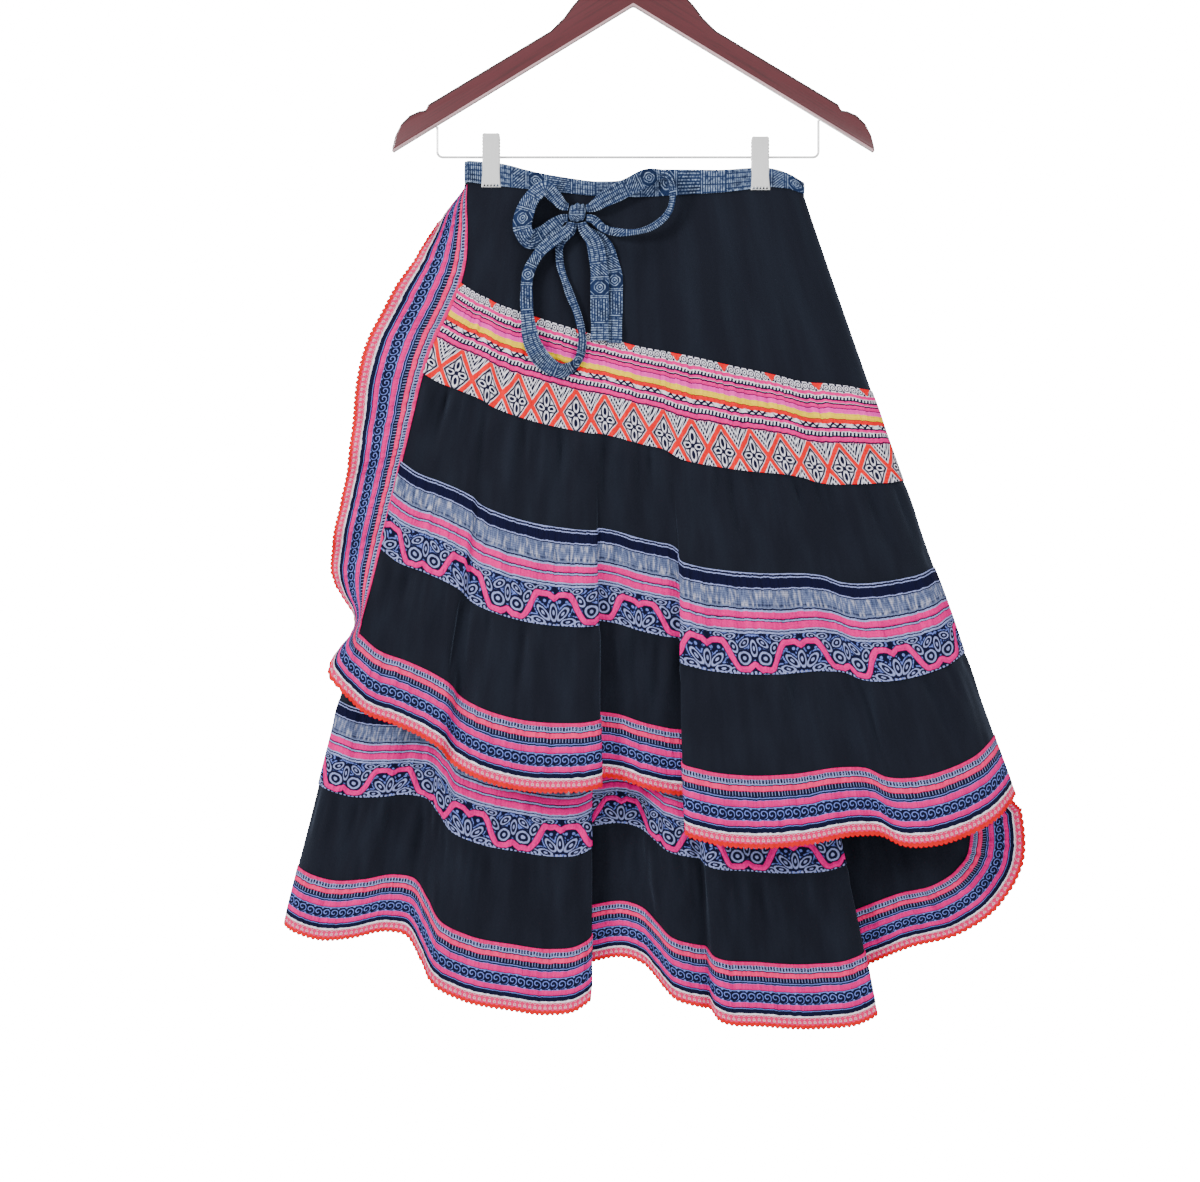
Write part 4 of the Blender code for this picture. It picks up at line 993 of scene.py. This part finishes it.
def indigo_batik():
    """Batik of the waistband and ties: combs, octagons, lattices and broken lines by turns."""
    look = Look("indigo_batik", rough=0.88)
    along, across = look.chart(PIXEL, BATIK_WIDTH)
    ragged = look.wander(0.8, 0.8, 0.7)
    right = along + ragged * 0.35
    down = across + ragged * 0.35
    place = (right / BATIK_REPEAT).fraction() * BATIK_REPEAT
    look.fill("indigo")
    patch = look.noise(0.06, 0.09, 3.0)
    look.paint((patch * -1.0 + 0.52).held(4.0) * 0.8, "indigo_dark")
    worn = look.noise(0.3, 0.3, 3.0)
    strength = (worn - 0.28).held(2.6)
    middle = (down - BATIK_WIDTH / 2).size()
    combs = place.within(0.0, 44.0)
    ladder = place.stripes(2.0, 0.46, 0.3) * down.stripes(4.4, 0.76, 0.12) * combs
    lines = middle.within(8.8, 9.5, 0.3) * combs
    slant = (place + down).stripes(3.0, 0.36, 0.25) * place.within(47.0, 58.0)
    far = ellipse(place, down, OCTAGON, BATIK_WIDTH / 2)
    square = (place - OCTAGON).size() + middle
    octagon = far.most(square * 0.77)
    rings = octagon.stripes(2.4, 0.4, 0.25) * octagon.below(7.0)
    corner = square.within(12.4, 13.3, 0.4) * place.within(62.5, 77.5)
    broken = (place / 3.4 + (down / 2.6).work("FLOOR") * 0.37).fraction().below(0.76, 0.2)
    tier = down.stripes(2.6, 0.42, 0.25) * place.within(82.0, 104.0) * broken
    wide = place.stripes(2.5, 0.5, 0.3) * place.within(107.0, 130.0)
    wide = wide * down.stripes(6.6, 0.84, 0.1)
    marks = ladder + lines + slant + rings + corner + tier + wide
    for bar in BARS:
        marks = marks + (place - bar).size().below(0.45, 0.3)
    look.paint(marks.least(1.0) * strength, "indigo_light")
    fade = look.noise(0.7, 0.7, 3.0)
    look.shade(fade * 0.6 + 0.72)
    return look.finish(weave(along, across, 1.0) * 0.5 + fade, 0.25)


def dark_wood(name, ground):
    look = Look(name, rough=0.3, gloss=0.5)
    x, z = look.place()
    side = x.size()
    look.along = side * 0.86 - z * 0.52
    look.across = side * 0.52 + z * 0.86
    look.fill(ground)
    grain = look.noise(9.0, 420.0, 4.0, 0.6)
    look.paint((grain - 0.5).held(1.8), "wood_dark")
    pores = look.noise(60.0, 1500.0)
    look.paint((pores - 0.62).held(2.5), "wood_dark")
    set_inputs(look.shader, {"Coat Weight": 0.55, "Coat Roughness": 0.12})
    return look.finish(grain, 0.04)


def bright_metal():
    look = Look("bright_metal", rough=0.24, metallic=0.3, gloss=0.5)
    look.place()
    look.fill("metal")
    brush = look.noise(900.0, 40.0)
    look.shade(brush * 0.12 + 0.88)
    return look.finish(brush, 0.01)


def strip_grid(wrap, top, bottom, rows, over=0.0):
    """Points of a strip from its top seam to its bottom one, run on past both by over."""
    upper = top + over
    lower = bottom - over
    steps = np.linspace(0.0, 1.0, rows + 1)
    return np.array([wrap.at_height(upper + (lower - upper) * step) for step in steps])


def build_black(wrap, name, grid, looks, chance):
    """A black strip with its creases and the gathers under and over its seams."""
    relief = add_creases(grid, wrap, name)
    if name != "yoke":
        relief += add_gathers(grid, chance, TOP_GATHERS, True)
        relief += add_gathers(grid, chance, LOW_GATHERS, False)
    grid = raised(grid, relief * spread(grid, BLACK_SPREAD))
    build_cloth(looks, name, "black_cotton", grid, shares(grid), middle_run(grid))


def build_band(name, grid, looks, slot_name, chance):
    """A stitched band: it lies in front of the black cloth and follows its gathers softly."""
    run = middle_run(grid)
    share = shares(grid)
    wave = slow_wave(run, chance, BAND_WAVE) + slow_wave(run, chance, BAND_RIPPLE)
    bow = np.sin(math.pi * share)
    puckers = add_gathers(grid, chance, BAND_GATHERS, True)
    puckers += add_gathers(grid, chance, BAND_GATHERS, False)
    grid = raised(grid, BAND_STANDS + wave * bow * 0.8 + puckers * np.sqrt(bow))
    build_cloth(looks, name, slot_name, grid, share, run, lined=True)


def build_strips(wrap, looks, chance):
    """Yoke, black tiers and stitched bands."""
    seams = wrap.seam_heights()
    for tier, lower, upper in zip(TIERS, seams, seams[1:]):
        if tier.slot_name == "black_cotton":
            grid = strip_grid(wrap, upper, lower, TIER_ROWS, TUCK)
            build_black(wrap, tier.name, grid, looks, chance)
        else:
            grid = strip_grid(wrap, upper, lower, TIER_ROWS)
            build_band(tier.name, grid, looks, tier.slot_name, chance)
    grid = strip_grid(wrap, wrap.length, seams[-1], YOKE_ROWS, TUCK)
    build_black(wrap, "yoke", grid, looks, chance)


def build_waistband(wrap, looks):
    """The folded strip that holds the yoke's top edge."""
    base = wrap.at_share(0.0)
    run = run_along(base)
    top = np.interp(base[:, 0], [w.x for w in WAIST], [w.top for w in WAIST])
    share = np.linspace(0.0, 1.0, WAISTBAND_ROWS + 1)[:, None]
    drop = blurred(top, WAIST_BLUR) * (1 - share) + (wrap.waist_drop + WAIST_LAP) * share
    bow = np.sin(math.pi * share)
    dents = 0.25 * np.sin(run / 3.1) * np.sin(run / 7.3 + 1.0)
    grid = raised(grid_of(base[:, 0], base[:, 1], -drop), 0.5 + 0.5 * bow + dents * bow)
    build_cloth(looks, "waistband", "indigo_batik", grid, share, run, WAISTBAND)


def edge_rungs(wrap, column, table, side):
    """Start and end of the rungs up a free edge, in the order of their table."""
    heights = np.linspace(wrap.length, wrap.seam_heights()[0], EDGE_PLACES)
    edge = np.array([wrap.at_height(height)[column] for height in heights])
    rungs = []
    for rung in table:
        x = np.interp(rung.drop, -edge[:, 2], edge[:, 0])
        y = np.interp(rung.drop, -edge[:, 2], edge[:, 1])
        start = np.array([x, y, -rung.drop])
        rungs.append([*start, *(start + (side * rung.out, rung.back, -rung.fall))])
    return rungs


def border_rungs(wrap):
    """Start and end of the border's rungs: down the front edge, along the hem, up the inner edge."""
    seam = wrap.seam_heights()[0]
    start = wrap.at_height(seam)
    x, y, z = (wrap.at_share(1.0) - wrap.at_height(seam - wrap.fold.trim)).T
    angle = np.radians(wrap.fold.turn)
    turned = grid_of(x * np.cos(angle) - z * np.sin(angle), y, x * np.sin(angle) + z * np.cos(angle))
    hem = np.hstack([start, start + turned])
    rungs = []
    for rows in (
        [*edge_rungs(wrap, 0, FRONT_EDGE, -1), hem[0]],
        [hem[-1], *edge_rungs(wrap, -1, INNER_EDGE, 1)],
    ):
        rows = np.array(rows)
        rungs.append(refine(rows, run_along((rows[:, :3] + rows[:, 3:]) / 2), COLUMN))
    rungs = np.vstack([rungs[0][:-1], hem, rungs[1][1:]])
    return rungs[:, :3], rungs[:, 3:]


def build_border(wrap, looks, chance):
    """The border, one piece all the way round; returns its length, outer seam and the lace's edge."""
    start, end = border_rungs(wrap)
    run = run_along((start + end) / 2)
    free = np.abs(end[:, 0] - start[:, 0]) > np.abs(end[:, 2] - start[:, 2])
    free = np.convolve(free.astype(float), np.ones(FREE_BLUR) / FREE_BLUR, mode="same")
    end[:, 1] += free * slow_wave(run, chance, EDGE_WAVE)
    reach = end - start
    first = start - unit(reach) * BORDER_UNDER
    seam = start + reach * (BORDER_WIDTH / (BORDER_WIDTH + LACE_WIDTH))
    grid = span(first, seam - first, BORDER_ROWS)
    share = shares(grid)
    wave = slow_wave(run, chance, BORDER_WAVE)
    bow = np.sin(math.pi * share)
    puckers = add_gathers(grid, chance, BAND_GATHERS, True)
    puckers *= np.sqrt(bow) * spread(grid, BORDER_SPREAD)
    grid = raised(grid, BAND_STANDS + wave * bow + puckers)
    build_cloth(looks, "border", "border_stripe", grid, share, run, lined=True)
    return run, seam, end


def build_lace(run, seam, end, looks, chance):
    """The lace's scallops along the border's outer seam."""
    scallops = round(run[-1] / (SCALLOP * PIXEL))
    fine = np.linspace(0.0, run[-1], 4 * scallops + 1)
    inner, outer = (
        np.stack([np.interp(fine, run, line[:, axis]) for axis in range(3)], axis=-1)
        for line in (seam, end)
    )
    phase = fine / run[-1] * scallops
    notch = np.abs(np.sin(math.pi * phase))
    inner = inner - (outer - inner) * LACE_UNDER
    grid = span(inner, (outer - inner) * (0.86 + 0.14 * notch)[:, None], LACE_ROWS)
    share = shares(grid)
    ruffle = slow_wave(fine, chance, LACE_WAVE) * share**2
    puff = 0.35 * notch * np.sin(math.pi * share)
    grid = raised(grid, 0.35 + ruffle + puff)
    build_cloth(looks, "lace_trim", "lace_red", grid, share, phase * SCALLOP * PIXEL, LACE)


TIE_ACROSS = 9
TIE_STEP = 2.5
TIE_BLUR = 9                # places over which the depth behind a tie is evened out
RIBBON = 1.3                # thickness of a tie, folded lengthwise


def build_tie(name, stops, wrap, looks):
    """A flat tie through its stops, folded lengthwise, a little cupped and creased."""
    places = np.array([(s.x, -s.drop) for s in stops])
    line = Stop(*refine(stops, run_along(places), TIE_STEP).T)
    depth = np.array([wrap.depth_in_front(x, drop) for x, drop in zip(line.x, line.drop)])
    centre = grid_of(line.x, blurred(depth, TIE_BLUR) - line.out, -line.drop)
    run = run_along(centre)
    tangent = unit(np.gradient(centre, axis=0))
    flat = unit(np.cross(tangent, (0.0, 1.0, 0.0)))
    back = np.cross(tangent, flat)
    lean = np.radians(line.lean)[:, None]
    across = flat * np.cos(lean) + back * np.sin(lean)
    face = np.cross(tangent, across)
    share = np.linspace(0.5, -0.5, TIE_ACROSS)[:, None]
    cup = 0.5 - 1.6 * share**2
    crease = 0.6 * np.cos(share * 14.0) * np.sin(run / 17.0)
    ripple = 0.45 * np.sin(run / 6.0 + 2.0) * share * 2
    width = line.width + 0.4 * (np.sin(run / 4.3) + np.sin(run / 9.1))
    grid = centre + across * (share * width)[:, :, None]
    grid = grid + face * (cup + crease + ripple)[:, :, None]
    levels = 0.5 - share * width / (BATIK_WIDTH * PIXEL)
    build_cloth(looks, name, "indigo_batik", grid, levels, run, RIBBON)


KNOT_RINGS = 25
KNOT_SIDES = 48
KNOT_SQUARE = 0.8           # power that squares the knot's round section a little
KNOT_RUN = 9.0              # length of its map for each radian round it


def build_knot(wrap, looks):
    """The knot of the bow: the tie wrapped over itself, with soft slanting ridges."""
    depth = wrap.depth_in_front(KNOT.x, KNOT.drop)
    turn = full_turn(KNOT_SIDES)
    round_y = -np.sign(np.cos(turn)) * np.abs(np.cos(turn)) ** KNOT_SQUARE
    round_z = np.sign(np.sin(turn)) * np.abs(np.sin(turn)) ** KNOT_SQUARE
    points = []
    chart = []
    for share in np.linspace(-0.985, 0.985, KNOT_RINGS):
        swell = (1.0 - abs(share) ** 3.5) ** 0.4
        ridge = 0.05 * math.cos(share * 7.0 + 0.6)
        slant = 0.06 * np.cos(share * 9.0 + turn)
        size = swell * (1.0 + ridge + slant)
        y = round_y * KNOT_DEPTH / 2 * size
        z = round_z * KNOT_HEIGHT / 2 * size
        x = share * KNOT.width / 2 + z * 0.12
        points.append(grid_of(KNOT.x + x, depth - KNOT.out + y, -KNOT.drop + z))
        chart.append(np.stack([turn * KNOT_RUN * MM, np.full(KNOT_SIDES, share / 2 + 0.5)], axis=-1))
    mesh = smooth_mesh(
        "tie_knot_cloth",
        np.concatenate(points),
        tube_faces(KNOT_RINGS, KNOT_SIDES, 0),
        looks["indigo_batik"],
        np.concatenate(chart),
    )
    dress(add_object("tie_knot_cloth", mesh), "tie_knot")


# What shows of each strip as it was cut, in metres: its width down the skirt and its length
# round it, before the seams and the wearing gathered it; area is less where a strip is a fan.
Cut = namedtuple("Cut", "piece width length area held rests_on")
CUTS = table_of(
    Cut,
    ("yoke_cloth", 0.38, 1.36, 0.285, "hung", "waistband_cloth"),
    ("upper_band_cloth", 0.095, 1.54, None, "gathered", "yoke_cloth"),
    ("middle_tier_cloth", 0.097, 1.77, None, "gathered", "upper_band_cloth"),
    ("batik_band_cloth", 0.09, 2.01, None, "gathered", "middle_tier_cloth"),
    ("lower_tier_cloth", 0.095, 2.28, None, "gathered", "batik_band_cloth"),
    ("border_cloth", 0.052, 3.5, None, "hung", "lower_tier_cloth"),
    ("lace_trim_cloth", 0.013, 3.6, None, "hung", "border_cloth"),
    ("waistband_cloth", 0.0197, 0.9, None, "folded", "clip_bar"),
    ("tie_loop_left_cloth", 0.0175, 0.13, None, "folded", "tie_knot_cloth"),
    ("tie_loop_right_cloth", 0.012, 0.21, None, "folded", "tie_knot_cloth"),
    ("tie_hanging_loop_cloth", 0.0117, 0.33, None, "folded", "tie_knot_cloth"),
    ("tie_tail_front_cloth", 0.0163, 0.118, None, "folded", "tie_knot_cloth"),
    ("tie_tail_back_cloth", 0.0142, 0.125, None, "folded", "tie_knot_cloth"),
)


CAMERA_X = -30.7
CAMERA_DROP = 647.3
CAMERA_AWAY = 2614.0
LENS = 85.0
SENSOR = 36.0
FARTHEST = 50.0             # metres
FLOOR_DROP = 1750.0
FLOOR_RADIUS = 2000.0
FLOOR_SIDES = 96


def build_camera():
    lens = bpy.data.cameras.new("camera")
    lens.lens = LENS
    lens.sensor_width = SENSOR
    lens.clip_end = FARTHEST
    made = add_object("camera", lens)
    made.location = Vector((CAMERA_X, -CAMERA_AWAY, -CAMERA_DROP)) * MM
    made.rotation_euler = (math.radians(90.0), 0.0, 0.0)
    bpy.context.scene.camera = made


Lamp = namedtuple("Lamp", "name x y z size power")
LAMPS = table_of(
    Lamp,
    ("key", -2300, -1900, 500, 800, 76),
    ("fill", 1900, -2000, -200, 1600, 15),
    ("top", 300, -600, 1800, 1200, 28),
    ("behind", 0, 2300, 300, 1800, 28),
)
SURROUND = 0.78             # strength of the surround as a light
BACKDROP = 20.0             # its strength as it is seen directly
AIM = Vector((0.0, 0.0, -0.65))
FLOOR_GREY = (0.95, 0.95, 0.95, 1)


def build_light():
    """Soft lamps all round and a white surround."""
    for lamp in LAMPS:
        light = bpy.data.lights.new(lamp.name, "AREA")
        light.shape = "DISK"
        light.size = lamp.size * MM
        light.energy = lamp.power
        made = add_object(lamp.name, light)
        made.location = Vector((lamp.x, lamp.y, lamp.z)) * MM
        made.rotation_euler = (AIM - made.location).to_track_quat("-Z", "Y").to_euler()
    world = bpy.data.worlds.new("surround")
    world.use_nodes = True
    tree = world.node_tree
    path = tree.nodes.new("ShaderNodeLightPath")
    strength = Signal(path.outputs["Is Camera Ray"]) * (BACKDROP - SURROUND) + SURROUND
    back = tree.nodes["Background"]
    set_inputs(back, {"Color": (1.0, 1.0, 1.0, 1.0)})
    tree.links.new(strength.socket, back.inputs["Strength"])
    bpy.context.scene.world = world


def build_floor():
    turn = full_turn(FLOOR_SIDES)
    rim = FLOOR_RADIUS * grid_of(np.cos(turn), np.sin(turn), 0.0)
    pale = bpy.data.materials.new("floor_pale")
    pale.use_nodes = True
    set_inputs(pale.node_tree.nodes["Principled BSDF"], {"Base Color": FLOOR_GREY})
    floor = add_object("floor", smooth_mesh("floor", rim, [range(FLOOR_SIDES)], pale))
    floor.location = (0.0, 0.0, -FLOOR_DROP * MM)


# A clip: where its middle is, and the drops of its upper and lower ends.
Clip = namedtuple("Clip", "x top bottom")
CLIPS = {
    "clip_left": Clip(-131.0, 226.0, 275.5),
    "clip_right": Clip(117.0, 229.0, 278.0),
}
CLIP_HALF_TOP = 7.9         # half its width at the thumb end, and at the teeth
CLIP_HALF_LOW = 8.6
CLIP_LIP = 4.9              # how far each lip stands from the middle plane
CLIP_EAR = 6.6              # how far each ear stands from the clip's middle
CLIP_PLATE = 6.0            # how far each plate's middle stands from the middle plane
CLIP_STEEL = 0.9
CLIP_TEETH = 5
TOOTH_PITCH = 3.0
TOOTH_HEIGHT = 3.1
SPRING_DROP = 242.0
SPRING_RADIUS = 3.3
SPRING_WIRE = 0.55
SPRING_TURNS = 7
COIL_SIDES = 6
PIN_RADIUS = 1.3
PIN_SIDES = 10
EDGES_BELOW = math.radians(35)


def clip_plate(clip, side):
    """Points of a plate: ribbed sides above, rolled edges, and teeth cut in its lower end."""
    half = CLIP_TEETH * TOOTH_PITCH / 2
    inner = np.linspace(-half, half, 2 * CLIP_TEETH + 1)
    across = np.concatenate([[-1.0, -0.97], inner / CLIP_HALF_LOW, [0.97, 1.0]])
    teeth = np.zeros(len(across))
    teeth[3 : 2 + len(inner) : 2] = TOOTH_HEIGHT
    drops = np.linspace(clip.top, clip.bottom, 67)
    share = (drops - clip.top) / (clip.bottom - clip.top)
    ribs = 0.22 * np.sign(np.sin(drops * 2.0)) * (share < 0.45)
    corner = 1.0 - 0.16 * np.clip(1.0 - share / 0.045, 0.0, 1.0) ** 2
    width = CLIP_HALF_TOP + (CLIP_HALF_LOW - CLIP_HALF_TOP) * smoothstep(0.6, 0.95, share)
    x = clip.x + across[None, :] * (width * corner + ribs)[:, None]
    rolled = 0.9 * smoothstep(0.88, 1.0, np.abs(across))[None, :]
    bend = 0.5 * smoothstep(0.2, 0.0, share) - 0.35 * smoothstep(0.8, 1.0, share)
    y = side * (CLIP_PLATE + bend[:, None] - rolled)
    level = drops[:, None] - teeth[None, :] * smoothstep(0.93, 1.0, share)[:, None]
    return grid_of(x, y, -level)[:, ::-side]


def clip_lip(clip, side):
    """The inner lip that the teeth close on."""
    x = clip.x + np.linspace(-CLIP_HALF_LOW + 0.5, CLIP_HALF_LOW - 0.5, 9)
    drops = np.linspace(clip.bottom - 0.7, clip.bottom - 0.05, 3)[:, None]
    return grid_of(x, side * CLIP_LIP, -drops)[:, ::-side]


def clip_ear(clip, side):
    """The plate at a clip's side that holds the pin."""
    y = np.linspace(-CLIP_PLATE, CLIP_PLATE, 9)
    drops = np.linspace(SPRING_DROP - 3.2, SPRING_DROP + 3.0, 5)[:, None]
    return grid_of(clip.x + side * CLIP_EAR, y, -drops)


def clip_coil(clip):
    """Rings of the coil spring's wire."""
    turn = np.linspace(0.0, SPRING_TURNS * 2 * math.pi, SPRING_TURNS * 14 + 1)
    x = clip.x + np.linspace(-5.4, 5.4, len(turn))
    z = SPRING_RADIUS * np.sin(turn) - SPRING_DROP
    route = grid_of(x, SPRING_RADIUS * np.cos(turn), z)
    tangent = unit(np.gradient(route, axis=0))
    first = unit(np.cross(tangent, (1.01, 0.01, 0.01)))
    second = np.cross(tangent, first)
    turn = full_turn(COIL_SIDES)[:, None]
    ring = np.cos(turn) * first[:, None] + np.sin(turn) * second[:, None]
    return route[:, None] + ring * SPRING_WIRE


def clip_pin(clip):
    """Rings of the pin that the spring is wound on."""
    turn = full_turn(PIN_SIDES)
    x = clip.x + np.linspace(-7.6, 7.6, 5)[:, None]
    return grid_of(x, PIN_RADIUS * np.cos(turn), PIN_RADIUS * np.sin(turn) - SPRING_DROP)


def tube_faces(rows, sides, start):
    """Faces of a closed tube of rings, its points counted from a start."""
    place = np.arange(rows * sides).reshape(rows, sides) + start
    after = np.roll(place, -1, axis=1)
    quads = np.stack([place[:-1], after[:-1], after[1:], place[1:]], axis=-1).reshape(-1, 4)
    return quads.tolist() + [place[0][::-1].tolist(), place[-1].tolist()]


PLATES = (
    (clip_plate, -1), (clip_lip, -1), (clip_plate, 1), (clip_lip, 1), (clip_ear, -1), (clip_ear, 1),
)


def build_clip(name, clip, looks):
    """A sprung clip: two toothed plates, side ears, and a coil spring round a pin."""
    points = []
    faces = []
    count = 0
    for shape, side in PLATES:
        some, quads, _ = thicken(shape(clip, side), CLIP_STEEL)
        points.append(some)
        faces += (quads + count).tolist()
        count += len(some)
    for rings in (clip_coil(clip), clip_pin(clip)):
        faces += tube_faces(*rings.shape[:2], count)
        points.append(rings.reshape(-1, 3))
        count += rings.size // 3
    mesh = smooth_mesh(name + "_sprung", np.concatenate(points), faces, looks["bright_metal"])
    mesh.set_sharp_from_angle(angle=EDGES_BELOW)
    dress(add_object(name + "_sprung", mesh), name)


EDGE_ROUND = 0.0024         # metres taken off the hanger's long edges
FLAT_BELOW = math.radians(1.0)


def build_arms(looks):
    """The hanger's arms, with rounded edges: a painted highlight along the lower ones, painted shade
    above.
    """
    solid = bpy.data.objects["hanger_arms"]
    shape = bmesh.new()
    shape.from_mesh(solid.data)
    bmesh.ops.remove_doubles(shape, verts=shape.verts, dist=1e-5)
    bmesh.ops.dissolve_limit(shape, angle_limit=FLAT_BELOW, verts=shape.verts, edges=shape.edges)
    sharp = [e for e in shape.edges if len(e.link_faces) == 2 and e.calc_face_angle() > 0.9]
    bmesh.ops.bevel(shape, geom=sharp, offset=EDGE_ROUND, segments=3, profile=0.6, affect="EDGES")
    mesh = bpy.data.meshes.new("hanger_arms_wood")
    shape.to_mesh(mesh)
    shape.free()
    mesh.materials.clear()
    for name in ("dark_wood", "wood_edge", "wood_shade"):
        mesh.materials.append(looks[name])
    # Rounded edge faces that slope down get the painted highlight, those that slope up the painted shade.
    for face in mesh.polygons:
        if abs(face.normal.y) > 0.2 and abs(face.normal.z) > 0.2:
            face.material_index = 1 if face.normal.z < 0 else 2
    mesh.polygons.foreach_set("use_smooth", np.ones(len(mesh.polygons), dtype=bool))
    mesh.set_sharp_from_angle(angle=EDGES_BELOW)
    dress(add_object("hanger_arms_wood", mesh), "hanger_arms")


def refinish(node, look):
    """Give a CAD node that stays in view its finish."""
    thing = bpy.data.objects[node]
    for slot in thing.material_slots:
        slot.material = look


def main():
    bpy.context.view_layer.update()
    chance = np.random.default_rng(SEED)
    looks = {
        "black_cotton": black_cotton(), "pink_batik": upper_band(), "blue_batik": batik_band(),
        "border_stripe": border_stripe(), "lace_red": lace_red(), "indigo_batik": indigo_batik(),
        # Besides the plain wood, a pale copy with a painted highlight and a dark copy with painted shade,
        # for the hanger's rounded edges.
        "dark_wood": dark_wood("dark_wood", "wood"), "wood_edge": dark_wood("wood_edge", "wood_edge"),
        "wood_shade": dark_wood("wood_shade", "wood_dark"), "bright_metal": bright_metal(),
    }
    wrap = Wrap(COLUMN)
    build_strips(wrap, looks, chance)
    build_waistband(wrap, looks)
    build_lace(*build_border(wrap, looks, chance), looks, chance)
    for name, stops in TIES.items():
        build_tie(name, stops, wrap, looks)
    build_knot(wrap, looks)
    for name, clip in CLIPS.items():
        build_clip(name, clip, looks)
    build_arms(looks)
    for node in ("hook", "clip_bar"):
        refinish(node, looks["bright_metal"])
    build_camera()
    build_light()
    build_floor()


main()
